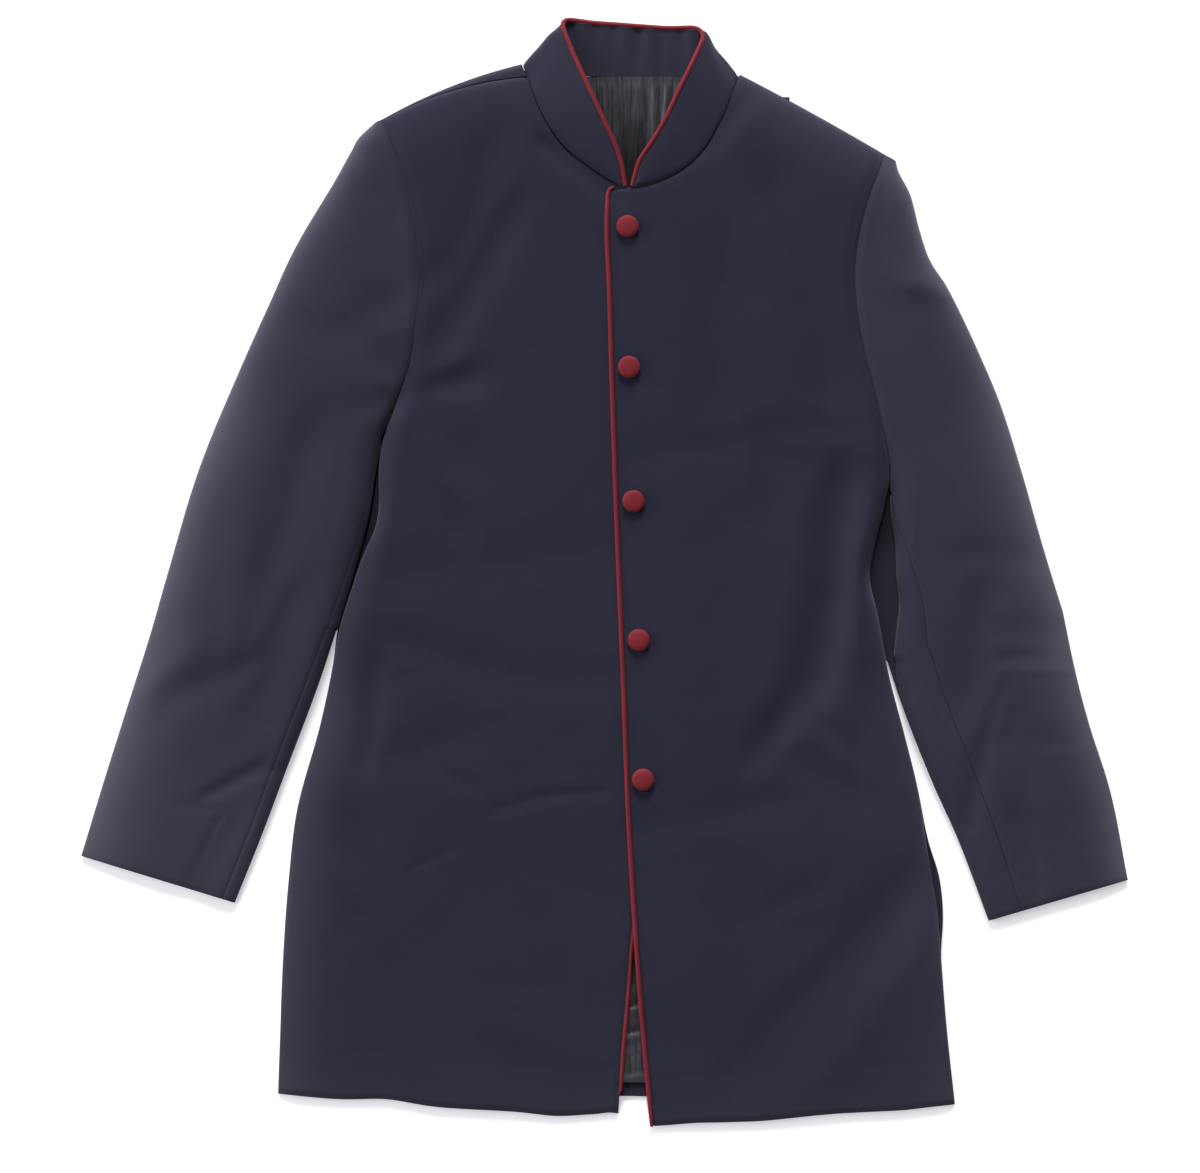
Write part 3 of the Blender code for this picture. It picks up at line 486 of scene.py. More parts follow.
def sweep(name, path, radii, sides, material):
    """A round cord along a path, closed at both ends."""
    path = np.asarray(path, dtype=float)
    ahead = unit(np.gradient(path, axis=0))
    up = np.zeros_like(path)
    up[:, 2] = 1.0
    side = unit(np.cross(ahead, up))
    up = np.cross(side, ahead)
    turn = np.linspace(0, 2 * math.pi, sides, endpoint=False)
    rings = path[:, None] + np.asarray(radii)[:, None, None] * (
        side[:, None] * np.cos(turn)[None, :, None] + up[:, None] * np.sin(turn)[None, :, None]
    )
    points = np.concatenate([rings.reshape(-1, 3), path[:1], path[-1:]])
    faces = []
    for ring in range(len(path) - 1):
        for k in range(sides):
            a, b = ring * sides + k, ring * sides + (k + 1) % sides
            faces.append((a, a + sides, b + sides, b))
    first, last = len(points) - 2, len(points) - 1
    end = (len(path) - 1) * sides
    for k in range(sides):
        faces.append((first, k, (k + 1) % sides))
        faces.append((last, end + (k + 1) % sides, end + k))
    return add_mesh(name, points, faces, material, CORD_ANGLE)


print("unit of (3, 4, 0):", unit(np.array([3.0, 4.0, 0.0])))

# %% [markdown]
# ## Materials
# The cloth is a worsted wool suiting: fine combed yarns in a tight plain weave. It looks matt, with a
# faint light bloom where the surface turns away, because short fibres stand up from it. The shader's
# sheen gives part of this bloom, and a paler colour painted where the edges turn away, a painted sheen,
# gives most of it. The lining is a viscose satin, whose long floats of bright yarn give soft streaks of
# light along the cloth. The piping and the buttons are covered in a maroon polyester satin.

# %% Colour and node helpers
def linear(hex_colour):
    """An sRGB hex colour as the linear values that shaders use."""
    channels = [int(hex_colour[i:i + 2], 16) / 255 for i in (1, 3, 5)]
    values = [c / 12.92 if c <= 0.04045 else ((c + 0.055) / 1.055) ** 2.4 for c in channels]
    return (*values, 1.0)


def add_node(tree, kind, settings=None, links=None):
    """Adds a node, sets its properties or inputs by name, and links sockets into its inputs."""
    node = tree.nodes.new(kind)
    for name, value in (settings or {}).items():
        if isinstance(name, str) and hasattr(node, name):
            setattr(node, name, value)
        else:
            node.inputs[name].default_value = value
    for name, socket in (links or {}).items():
        tree.links.new(socket, node.inputs[name])
    return node


def new_material(name):
    material = bpy.data.materials.new(name)
    material.use_nodes = True
    tree = material.node_tree
    return material, tree, tree.nodes["Principled BSDF"]


def colour_mix(tree, share, low, high):
    """Two colours mixed by a socket's value from 0 to 1."""
    mix = add_node(
        tree, "ShaderNodeMix", {"data_type": "RGBA", 6: linear(low), 7: linear(high)}, {0: share}
    )
    return mix.outputs[2]


print("mid grey as linear:", round(linear("#808080")[0], 3))

# %% [markdown]
# A plain weave has one yarn over the next in both directions. Real suiting has about 25 yarns a
# centimetre, which is too fine for the picture, so two crossed waves of 0.8 mm stand for it and
# stay soft. A wider, stretched noise adds the slight streaks of uneven yarn, along and across.
#
# Each mesh carries a value of painted light and shade. Above 0 it pales the wool, mostly as a painted
# sheen where an edge turns away. Below 0 it darkens the wool low between the body and the sleeves, as
# painted shade, because the lights here leave less shade than there really is. It belongs to the mesh,
# so it stays put from every side.

# %% Worsted wool
WOOL_YARN = 0.8  # mm between yarns, drawn twice as coarse as the real 0.4 mm
WAVE_LENGTH = math.pi / 10  # length of a band of Blender's wave texture at a scale of 1
SLUB_LENGTH = 30.0  # mm, length of a streak of uneven yarn
SLUB_STRETCH = 9.0
DYE_PATCHES = 11.0  # slow changes of shade in each metre
# colours mixed in by the painted light and shade on the mesh: a pale painted sheen, and a dark painted
# shade
PAINTED_SHEEN_COLOUR = "#504e5a"
SHADED_WOOL = "#111119"


def worsted_wool(name, dark, light, turn):
    """Navy worsted. turn is the angle of the cloth's grain from +Y, in degrees."""
    material, tree, shader = new_material(name)
    coordinates = add_node(tree, "ShaderNodeTexCoord")
    grain = add_node(
        tree, "ShaderNodeMapping", {"Rotation": (0, 0, math.radians(-turn))},
        {"Vector": coordinates.outputs["Object"]},
    ).outputs["Vector"]
    yarns = []
    for direction in ("X", "Y"):
        wave = add_node(
            tree, "ShaderNodeTexWave",
            {"bands_direction": direction, "Scale": WAVE_LENGTH / (WOOL_YARN * MM),
             "Distortion": 0.6, "Detail": 1.0},
            {"Vector": grain},
        )
        yarns.append(wave.outputs["Fac"])
    weave = add_node(tree, "ShaderNodeMath", {"operation": "MULTIPLY"}, {0: yarns[0], 1: yarns[1]})
    slubs = []
    for stretch in ((SLUB_STRETCH, 1.0, 1.0), (1.0, SLUB_STRETCH, 1.0)):
        run = add_node(tree, "ShaderNodeMapping", {"Scale": stretch}, {"Vector": grain})
        noise = add_node(
            tree, "ShaderNodeTexNoise", {"Scale": 1 / (SLUB_LENGTH * MM), "Detail": 3.0},
            {"Vector": run.outputs["Vector"]},
        )
        slubs.append(noise.outputs["Fac"])
    slub = add_node(tree, "ShaderNodeMath", {"operation": "ADD"}, {0: slubs[0], 1: slubs[1]})
    cloud = add_node(
        tree, "ShaderNodeTexNoise", {"Scale": DYE_PATCHES, "Detail": 3.0}, {"Vector": grain}
    )
    share = add_node(
        tree, "ShaderNodeMath", {"operation": "MULTIPLY_ADD", 1: 0.5, 2: 0.0},
        {0: slub.outputs[0]},
    )
    blended = add_node(
        tree, "ShaderNodeMix", {"data_type": "FLOAT", 0: 0.35},
        {2: share.outputs[0], 3: cloud.outputs["Fac"]},
    )
    yarn_colour = colour_mix(tree, blended.outputs[0], dark, light)
    # painted light and shade from the mesh: above 0 the colour is mixed towards a pale painted sheen,
    # below 0 towards a painted shade
    painted_light_and_shade = add_node(tree, "ShaderNodeAttribute", {"attribute_name": "painted_light_and_shade"}).outputs["Fac"]
    painted_sheen = add_node(
        tree, "ShaderNodeMix", {"data_type": "RGBA", 7: linear(PAINTED_SHEEN_COLOUR)}, {0: painted_light_and_shade, 6: yarn_colour}
    )
    below_0 = add_node(tree, "ShaderNodeMath", {"operation": "MULTIPLY", 1: -1.0}, {0: painted_light_and_shade})
    shaded = add_node(
        tree, "ShaderNodeMix", {"data_type": "RGBA", 7: linear(SHADED_WOOL)},
        {0: below_0.outputs[0], 6: painted_sheen.outputs[2]},
    )
    tree.links.new(shaded.outputs[2], shader.inputs["Base Color"])
    bump = add_node(
        tree, "ShaderNodeBump", {"Strength": 0.35, "Distance": 0.12 * MM},
        {"Height": weave.outputs[0]},
    )
    fuzz = add_node(
        tree, "ShaderNodeBump", {"Strength": 0.25, "Distance": 0.2 * MM},
        {"Height": slub.outputs[0], "Normal": bump.outputs["Normal"]},
    )
    tree.links.new(fuzz.outputs["Normal"], shader.inputs["Normal"])
    shader.inputs["Roughness"].default_value = 0.85
    shader.inputs["IOR"].default_value = 1.45
    shader.inputs["Specular IOR Level"].default_value = 0.12
    shader.inputs["Sheen Weight"].default_value = 0.25
    shader.inputs["Sheen Roughness"].default_value = 0.55
    shader.inputs["Sheen Tint"].default_value = linear("#b9b4c6")
    return material


wool_body = worsted_wool("navy_worsted_body", "#1d1d2b", "#242434", 0)
wool_right = worsted_wool("navy_worsted_right_sleeve", "#242330", "#2b2b38", 17)
wool_left = worsted_wool("navy_worsted_left_sleeve", "#242431", "#2d2d3c", -15)
wool_collar = worsted_wool("navy_worsted_collar", "#1f1f2d", "#272737", 0)
print("wools:", wool_body.name, wool_right.name, wool_left.name, wool_collar.name)

# %% [markdown]
# ## Satin lining and maroon satin
# Satin is smooth along its floats and rough across them. Anisotropy on the shader stretches the
# highlight, and a noise that is long in one direction gives the streaks that a lining shows. On the
# lining the painted light is only ever below 0: a painted shade that darkens the satin low in the neck,
# where little light comes, and a little in the slit.

# %% Lining satin
FLOAT_LENGTH = 25.0  # mm, length of a bright streak
FLOAT_STRETCH = 14.0
SHADED_SATIN = "#131215"


def viscose_satin(name):
    """Charcoal lining satin, with its floats along +Y."""
    material, tree, shader = new_material(name)
    place = add_node(tree, "ShaderNodeTexCoord").outputs["Object"]
    run = add_node(tree, "ShaderNodeMapping", {"Scale": (FLOAT_STRETCH, 1.0, 1.0)}, {"Vector": place})
    streak = add_node(
        tree, "ShaderNodeTexNoise", {"Scale": 1 / (FLOAT_LENGTH * MM), "Detail": 4.0},
        {"Vector": run.outputs["Vector"]},
    )
    contrast = add_node(
        tree, "ShaderNodeMapRange", {"From Min": 0.38, "From Max": 0.66},
        {"Value": streak.outputs["Fac"]},
    )
    colour = colour_mix(tree, contrast.outputs["Result"], "#232227", "#3f3e45")
    # painted shade from the mesh: below 0 the satin is darkened towards SHADED_SATIN
    painted_light_and_shade = add_node(tree, "ShaderNodeAttribute", {"attribute_name": "painted_light_and_shade"}).outputs["Fac"]
    below_0 = add_node(tree, "ShaderNodeMath", {"operation": "MULTIPLY", 1: -1.0}, {0: painted_light_and_shade})
    shaded = add_node(
        tree, "ShaderNodeMix", {"data_type": "RGBA", 7: linear(SHADED_SATIN)},
        {0: below_0.outputs[0], 6: colour},
    )
    tree.links.new(shaded.outputs[2], shader.inputs["Base Color"])
    bump = add_node(
        tree, "ShaderNodeBump", {"Strength": 0.3, "Distance": 0.25 * MM},
        {"Height": streak.outputs["Fac"]},
    )
    tree.links.new(bump.outputs["Normal"], shader.inputs["Normal"])
    shader.inputs["Roughness"].default_value = 0.4
    shader.inputs["IOR"].default_value = 1.5
    shader.inputs["Anisotropic"].default_value = 0.5
    shader.inputs["Sheen Weight"].default_value = 0.15
    return material


lining_satin = viscose_satin("charcoal_viscose_satin")
print("lining:", lining_satin.name)

# %% Maroon satin
TWILL = 1.1  # mm between the twill lines of the covering, coarse enough to show
SATIN_PATCHES = 120.0  # slight changes of shade in each metre


def polyester_satin(name, dark, light, angle):
    """Maroon satin that covers the piping and the buttons, with fine slanted lines."""
    material, tree, shader = new_material(name)
    place = add_node(tree, "ShaderNodeTexCoord").outputs["Object"]
    turned = add_node(
        tree, "ShaderNodeMapping", {"Rotation": (0, 0, math.radians(angle))}, {"Vector": place}
    ).outputs["Vector"]
    twill = add_node(
        tree, "ShaderNodeTexWave",
        {"bands_direction": "X", "Scale": WAVE_LENGTH / (TWILL * MM), "Distortion": 0.5},
        {"Vector": turned},
    )
    cloud = add_node(
        tree, "ShaderNodeTexNoise", {"Scale": SATIN_PATCHES, "Detail": 2.0}, {"Vector": place}
    )
    colour = colour_mix(tree, cloud.outputs["Fac"], dark, light)
    tree.links.new(colour, shader.inputs["Base Color"])
    bump = add_node(
        tree, "ShaderNodeBump", {"Strength": 0.3, "Distance": 0.12 * MM},
        {"Height": twill.outputs["Fac"]},
    )
    tree.links.new(bump.outputs["Normal"], shader.inputs["Normal"])
    shader.inputs["Roughness"].default_value = 0.7
    shader.inputs["IOR"].default_value = 1.5
    shader.inputs["Specular IOR Level"].default_value = 0.2
    shader.inputs["Sheen Weight"].default_value = 0.05
    shader.inputs["Sheen Tint"].default_value = linear("#d08a8c")
    return material


piping_satin = polyester_satin("maroon_polyester_satin_piping", "#65181f", "#761f27", 40)
button_satin = polyester_satin("maroon_polyester_satin_buttons", "#66181e", "#761f26", 35)
print("materials:", len(bpy.data.materials))

# %% [markdown]
# ## The two halves of the body
# Both fronts are cut from one pattern and then lie differently. A class holds what differs: the
# side, the hem, the armhole and the shoulder. Rows are counted from the hem to the shoulder, and
# the last ones crowd together where the cloth turns over the shoulder.

# %% Halves
FREE_ROWS, SLEEVE_ROWS, YOKE_ROWS, TOP_ROWS = 14, 6, 6, 9
ARMPIT_ROW = FREE_ROWS + SLEEVE_ROWS
YOKE_ROW = ARMPIT_ROW + YOKE_ROWS
LAST_ROW = YOKE_ROW + TOP_ROWS
CROWDING = 1.6  # how much closer the last rows stand towards the shoulder

HOLLOW_RIGHT = Table(  # width of the low strip of the body beside the right sleeve
    "y width",
    (-80, 0), (-50, 1), (-12, 2), (15, 4), (35, 8), (55, 7), (75, 4), (95, 1), (120, 0),
    (376, 0),
)
HOLLOW_LEFT = Table(  # and of the left sleeve beside the body
    "y width",
    (-110, 0), (-85, 4), (-57, 12), (-24, 21), (5, 22), (26, 16), (45, 8), (70, 2), (95, 0),
    (125, 0), (347, 0),
)


class Half:
    """One half of the body: its outline, and where its rows stand."""

    def __init__(self, sign, side, levels, hem_back, underarm, neck_point, bow):
        self.sign = sign
        self.side = side
        self.levels = levels
        self.hem_back = hem_back
        self.underarm = underarm
        tip = levels[-1]
        self.tip = np.array([float(side.at(tip, "x")), tip])
        self.neck_point = np.array(neck_point, dtype=float)
        self.bow = bow
        along = unit(self.neck_point - self.tip)
        self.inward = np.array([along[1], -along[0]])
        if self.inward[1] > 0:
            self.inward = -self.inward

    def height_of(self, row):
        """y of a row, which may lie between two whole ones."""
        yoke, tip = self.levels[-2:]
        low = np.interp(row, (0, FREE_ROWS, ARMPIT_ROW, YOKE_ROW), self.levels[:-1])
        share = np.clip((row - YOKE_ROW) / TOP_ROWS, 0, 1)
        return low + (tip - yoke) * (1 - (1 - share) ** CROWDING)

    def shoulder_point(self, share, inset=0.0):
        """Points on the shoulder's fold, from its tip to the neck, or inside it."""
        share = np.asarray(share, dtype=float)[..., None]
        inset = np.asarray(inset, dtype=float)
        inset = inset[..., None] if inset.ndim else inset
        chord = self.tip + (self.neck_point - self.tip) * share
        return chord + self.inward * (inset - arch(share) * self.bow)

    def edge(self, y):
        """Height of the upper layer's edge on the side and the armhole."""
        return np.maximum(self.side.at(y, "edge"), UPPER_EDGE)

    def hollow(self, y):
        """Width of the low strip in the valley between body and sleeve, on the lower of the two."""
        table = HOLLOW_RIGHT if self.sign < 0 else HOLLOW_LEFT
        inside = np.clip(y, table.rows[0, 0], table.rows[-1, 0])
        return np.maximum(table.at(inside, "width"), 0)


# The levels are y at the hem, the parting of sleeve and body, the armpit, the yoke and the shoulder.
RIGHT = Half(
    -1, SIDE_RIGHT, levels=(-435, -47, 145, 268, 376), hem_back=-433, underarm=113,
    neck_point=(-69, 422.5), bow=4.5,
)
LEFT = Half(
    1, SIDE_LEFT, levels=(-444, -73, 75, 250, 347), hem_back=-441, underarm=67,
    neck_point=(112.8, 414), bow=1.0,
)
print("shoulder tips:", RIGHT.tip, LEFT.tip)

# %% [markdown]
# The right shoulder seam has slipped to the front, so the back comes over the shoulder there and the
# front ends on it. At the left shoulder both end at the fold. From there a front's height rises like
# the side of a cushion. A panel's places in plan lie on straight lines from its side to its edge,
# which are then bent to the shoulder above and to the hem below.

# %% Shoulders, and places in plan
SEAM_INSET_TIP, SEAM_INSET_NECK = 0.6, 11.0  # mm from the right shoulder's fold to its seam
BENT_HEM_ROWS = 5


def seam_inset(share):
    """How far the right shoulder seam lies in front of the shoulder's fold."""
    return SEAM_INSET_TIP + (SEAM_INSET_NECK - SEAM_INSET_TIP) * share * share


def near_hem(rows):
    """1 on the hem, fading to 0 a few rows above it."""
    return np.clip(1 - rows / BENT_HEM_ROWS, 0, 1)[:, None] ** 2


def fold_turn(inset):
    """How far the cloth has turned over the shoulder's fold, as a cosine and a sine."""
    cosine = 1 - np.minimum(inset / SHOULDER_FOLD, 1.0)
    return cosine, np.sqrt(1 - cosine * cosine)


def top_height(half, share):
    """Height of a front's top edge: on the seam at the right, at the floor on the left."""
    if half is LEFT:
        return UPPER_EDGE
    cosine, sine = fold_turn(seam_inset(share))
    return SHOULDER_FOLD * (1 + sine) + SHOULDER_GAP * cosine


def rise_from_shoulder(half, height, share, below_top):
    """A front's height, rounded down to its shoulder edge."""
    base = top_height(half, share)
    return base + (height - base) * swell(below_top, SHOULDER_ROLL)


def armhole_height(half, y):
    """Height of the seam between a front and its sleeve."""
    return rise_from_shoulder(half, half.edge(y), 0.0, half.tip[1] - y)


def plan_grid(rows, outer, inner, top, bottom, places):
    """Places in plan on the lines from outer to inner points, bowed to the top and bottom lines."""
    length = np.linalg.norm(inner - outer, axis=1)
    shares = places / length[:, None]
    plan = outer[:, None] + (inner - outer)[:, None] * shares[..., None]
    pull = np.clip((rows - YOKE_ROW) / TOP_ROWS, 0, 1) ** 2
    chord = top(0.0) + (top(1.0) - top(0.0)) * shares[..., None]
    plan = plan + (top(shares) - chord) * pull[:, None, None]
    plan[..., 1] += arch(shares) * near_hem(rows) * bottom
    return plan


print("right shoulder seam in from the fold, mm:", seam_inset(0.0), seam_inset(0.5), seam_inset(1.0))

# %% [markdown]
# ## The fronts
# A front rounds up from the side, where it is folded to the back, and falls again to its piped
# edge. Its edges are turned in and pressed, so they round off over a millimetre or two instead of
# ending square, and the cloth sinks a little along each seam that pulls it down. Here the grid has
# a point about every 3 mm, and each of these is a smooth height that is added to it.

# %% The outer side of a front
OVERLAP_LIFT = 2.5
OVERLAP_WIDTH = 46.0  # how far in from its edge the left front lies on the right one
LIFT_FADE = 60.0
LIFT_AT_HEM = 0.2  # share of the lift that is left where the fronts part
EDGE_TOP = EDGE_LEFT.rows[-1, 0]
FRONT_ROLL_STEPS = 20
HOLLOW_STEPS = 5
THIN_STRIP = 0.8  # mm, the least width of the strip that these steps divide
FRONT_COLUMNS = 84
FINE = 9  # rows of the mesh for each row of the pattern
WALL_CROWDING = 1.25  # columns stand closer at the foot of a valley's wall
FREE_ROLL_RIGHT, FREE_ROLL_LEFT = 0.9, 0.4  # how much rounder the sides are, free of the sleeves
TIGHT_ROLL = dict(share=0.55, y=5, reach=60)  # and how much less round beside the left sleeve
HEM_BEND_RIGHT, HEM_BEND_LEFT = -3.5, -1.5  # mm, how far the middle of a front's hem hangs lower

# Waves of the hems: the middle of each in x, its width, and how far it lifts the hem.
HEM_RIGHT = Table("x width wave", (-182, 28, 3.8), (-40, 24, -2.6), (4, 8, 1.2))
HEM_LEFT = Table("x width wave", (75, 18, 0.8), (130, 22, -0.8), (190, 26, 0.8), (250, 20, -0.8))


def overlap_lift(x, y):
    """How far the left front is lifted by the right one under it."""
    beyond = x - EDGE_LEFT.at(np.minimum(y, EDGE_TOP), "x") - OVERLAP_WIDTH
    across = 1 - ease(beyond / LIFT_FADE)
    return OVERLAP_LIFT * across * (LIFT_AT_HEM + (1 - LIFT_AT_HEM) * ease((y + 400) / 60))


def free_side(y, reach=60):
    """1 where the body's side lies free of the sleeve, fading upwards to 0."""
    return ease((FREE_BELOW - y) / reach)


def front_top(half, share):
    """Places on a front's top edge, from the armhole to the neck."""
    inset = seam_inset(share) if half is RIGHT else np.zeros_like(np.asarray(share, dtype=float))
    return half.shoulder_point(share, inset + SHOULDER_GAP * fold_turn(inset)[1])


def front_skin(half, edge_table, neck, corner, rows, roll_steps, columns, dressed=True):
    """Grid on the upper side of a front, from hem to shoulder and from the side to its edge."""
    y = half.height_of(rows)
    hem, yoke_y = half.levels[0], half.levels[3]
    hem_front = edge_table.rows[0, 0]
    cloth_edge = (PIPING_RADIUS + (-TUCK if dressed else SEAM_GAP)) * half.sign
    outer = np.stack([half.side.at(y, "x"), y], axis=-1)
    front_y = hem_front + (corner[1] - hem_front) * np.clip((y - hem) / (yoke_y - hem), 0, 1)
    inner = np.stack([edge_table.at(front_y, "x") + cloth_edge, front_y], axis=-1)
    on_neck = rows > YOKE_ROW
    along = np.clip((rows - YOKE_ROW - 1) / (TOP_ROWS - 1), 0, 1)
    inner[on_neck] = neck.at(along)[on_neck]
    turning = (rows >= YOKE_ROW) & (rows < YOKE_ROW + 1)
    step = (rows[turning] - YOKE_ROW)[:, None]
    inner[turning] = np.array(corner) * (1 - step) + neck.at(0.0) * step
    late = np.clip((rows - LAST_ROW + 1), 0, 1)[:, None] ** 2
    outer += (front_top(half, 0.0) - outer[-1]) * late
    inner += (front_top(half, 1.0) - inner[-1]) * late
    width = np.linalg.norm(inner - outer, axis=1)
    roll, hollow = half.side.at(y, "roll"), np.zeros_like(y)
    turn = roll[:, None] * (1 - np.cos(np.arange(roll_steps) / roll_steps * math.pi / 2))
    if dressed:
        roll = roll * (1 + (FREE_ROLL_RIGHT if half is RIGHT else FREE_ROLL_LEFT) * free_side(y))
        if half is RIGHT:
            hollow = half.hollow(y)
        else:
            beside = dip(y - TIGHT_ROLL["y"], TIGHT_ROLL["reach"])
            roll = roll * (1 - TIGHT_ROLL["share"] * beside)
        roll = np.maximum(roll, hollow + VALLEY_WALL)
        low = np.maximum(hollow, THIN_STRIP)[:, None]
        wall_steps = roll_steps - HOLLOW_STEPS
        wall = (np.arange(wall_steps) / wall_steps) ** WALL_CROWDING
        turn = np.concatenate(
            [low * np.arange(HOLLOW_STEPS) / HOLLOW_STEPS, low + (roll[:, None] - low) * wall], 1
        )
    flat = np.linspace(0, 1, columns)
    places = np.concatenate([turn, roll[:, None] + (width - roll)[:, None] * flat], 1)
    bottom = HEM_BEND_RIGHT if half is RIGHT else HEM_BEND_LEFT
    plan = plan_grid(rows, outer, inner, lambda s: front_top(half, s), bottom, places)
    if dressed:
        for x, wave_width, wave in (HEM_RIGHT if half is RIGHT else HEM_LEFT).rows:
            plan[..., 1] += near_hem(rows) * wave * dip(plan[..., 0] - x, wave_width)
    px, py = plan[..., 0], plan[..., 1]
    height = body_height(px, py)
    if half is LEFT:
        height = height + overlap_lift(px, py)
    edge = half.edge(y)[:, None]
    inside = np.maximum(places - hollow[:, None], 0)
    height = edge + (height - edge) * swell(inside, (roll - hollow)[:, None])
    below_top = plan[-1:, :, 1] - py
    below_top[:, 0] = half.tip[1] - y
    share = places / width[:, None]
    height = rise_from_shoulder(half, height, share, np.maximum(below_top, 0))
    if dressed:
        height = height + front_dressing(half, rows, y, places, width, below_top, plan)
    return np.concatenate([plan, height[..., None]], axis=-1)


# %% [markdown]
# A seam pulls the cloth down in a narrow dent beside it. A hem is turned up and pressed, so it
# rounds off, and the end of the turning shows as a faint line. Each row of the table is one such
# dent: how deep it is, how far in from its edge and how wide, all in millimetres.

# %% Turned edges and sewn seams
DENTS = {
    "armhole": ((0.9, 0, 1.6), (0.5, 5, 3.5)),
    "piping": ((0.9, 0, 1.5),),
    "neck": ((1.0, 0, 1.8), (0.8, 0, 6)),
    "shoulder": ((0.6, 0, 1.6),),
    "hem line": ((0.25, 38, 3),),
}
HEM_TURN = ((1.1, 2.2), (1.6, 15))  # how far the hem drops, and over what width it rounds off


def dents(place, distance):
    """Depth of the dents of one seam or hem, at distances in from its edge."""
    return sum(depth * dip(distance - inset, width) for depth, inset, width in DENTS[place])


def front_dressing(half, rows, y, places, width, below_top, plan):
    """Turned edges and the pull of the seams, as heights to add."""
    sewn = ease((half.edge(y) - UPPER_EDGE - 1) / 3)[:, None]
    inside = width[:, None] - places
    on_neck = ease(rows - YOKE_ROW)[:, None]
    from_hem = plan[..., 1] - plan[0, :, 1]
    pulled = sewn * dents("armhole", places) + dents("shoulder", below_top)
    pulled += on_neck * dents("neck", inside) + (1 - on_neck) * dents("piping", inside)
    pulled += dents("hem line", from_hem)
    for drop, turn in HEM_TURN:
        pulled += drop * (1 - swell(from_hem, turn))
    return -pulled


print("depth of an armhole seam, mm:", float(dents("armhole", 0.0)))

# %% [markdown]
# The inner side of each panel lies one wall in along the normals. At a free edge the normals are
# level, so that front and back meet face to face, and on a sewn seam they stand upright.

# %% Normals, painted sheen and painted shade of a front
PAINTED_SHEEN_SIDE = {RIGHT: 0.24, LEFT: 0.16}
PAINTED_SHEEN_SHOULDER = {RIGHT: 0.10, LEFT: 0.3}
PAINTED_SHEEN_HEM = 0.2
SIDE_REACH, SHOULDER_REACH, HEM_REACH = 26, 14, 9  # mm over which the painted sheen fades
VALLEY_SHADE = 0.9
SHADE_REACH = 3.5


def side_normals(half, y, skin, facing, up):
    """A panel's normals. Its edge is cut level on the fold at its side, and upright above."""
    normals = grid_normals(skin, facing)
    upright = ease((half.edge(y) - UPPER_EDGE) / 4)[:, None]
    level = unit((skin[:, 0] - skin[:, 3]) * (1, 1, 0))
    normals[:, 0] = level * (1 - upright) + upright * np.array([0.0, 0.0, up])
    return normals


def front_normals(half, y, skin):
    normals = side_normals(half, y, skin, -half.sign, 1)
    widths = np.linalg.norm(skin[-1] - skin[-1, 0], axis=1)
    inset = seam_inset(widths / widths[-1]) if half is RIGHT else np.zeros(len(widths))
    cosine, sine = fold_turn(inset)
    normals[-1, :, :2] = -half.inward * cosine[:, None]
    normals[-1, :, 2] = sine
    return normals


def front_painted_light(half, skin):
    """Painted sheen on a front's free side, its hem and its shoulder, and painted shade low beside the
    sleeve.
    """
    from_side = np.linalg.norm(skin - skin[:, :1], axis=-1)
    from_hem = np.linalg.norm(skin - skin[:1], axis=-1)
    from_top = np.linalg.norm(skin - skin[-1:], axis=-1)
    y = skin[..., 1]
    # painted sheen where the front turns down at its side, shoulder and hem
    painted_light_and_shade = free_side(y) * PAINTED_SHEEN_SIDE[half] * np.exp(-from_side / SIDE_REACH)
    painted_light_and_shade += PAINTED_SHEEN_SHOULDER[half] * np.exp(-from_top / SHOULDER_REACH)
    painted_light_and_shade += PAINTED_SHEEN_HEM * np.exp(-from_hem / HEM_REACH)
    # painted shade low beside the sleeve
    beside_sleeve = ease((y + 90) / 50) * ease((half.underarm + 20 - y) / 30)
    deep = half.hollow(y[:, :1]) if half is RIGHT else 0.0
    painted_light_and_shade -= VALLEY_SHADE * beside_sleeve * np.exp(-np.maximum(from_side - deep, 0) / SHADE_REACH)
    return np.clip(painted_light_and_shade, -1, 1)


print("nap at the right side and hem:", PAINTED_SHEEN_SIDE[RIGHT], PAINTED_SHEEN_HEM)

# %% Front panels
fine_rows = np.linspace(0, LAST_ROW, LAST_ROW * FINE + 1)
FRONTS = {
    "right": (RIGHT, EDGE_RIGHT, NECK_RIGHT, FRONT_CORNER_RIGHT),
    "left": (LEFT, EDGE_LEFT, NECK_LEFT, FRONT_CORNER_LEFT),
}
fronts, front_skins = {}, {}
for name, (half, edges, neck, corner) in FRONTS.items():
    skin = front_skin(half, edges, neck, corner, fine_rows, FRONT_ROLL_STEPS, FRONT_COLUMNS)
    normals = front_normals(half, half.height_of(fine_rows), skin)
    painted_light_and_shade = front_painted_light(half, skin)
    fronts[name] = add_shell(
        "front_cloth_" + name, skin, normals, FRONT_WALL, -half.sign, wool_body, painted_light_and_shade
    )
    front_skins[name] = skin
    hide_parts("front_" + name)
    print(name, "front points:", skin.shape)

# %% [markdown]
# ## The back
# The back lies face down, so only its edges show: a hem band in the slit between the fronts, a
# bulge at the side vent, and at the right shoulder a strip that comes over to the shoulder seam. It
# is flat where it rests. Each half turns up at its side to meet the front.

# %% The outer side of a back half
WRAP_STEPS = 6
UNDERARM_REACH = 4.0  # how far the back runs on under the sleeve where the armhole seam starts
UNDERARM_WIDTH = 16
BACK_HEM_BEND = -1.0


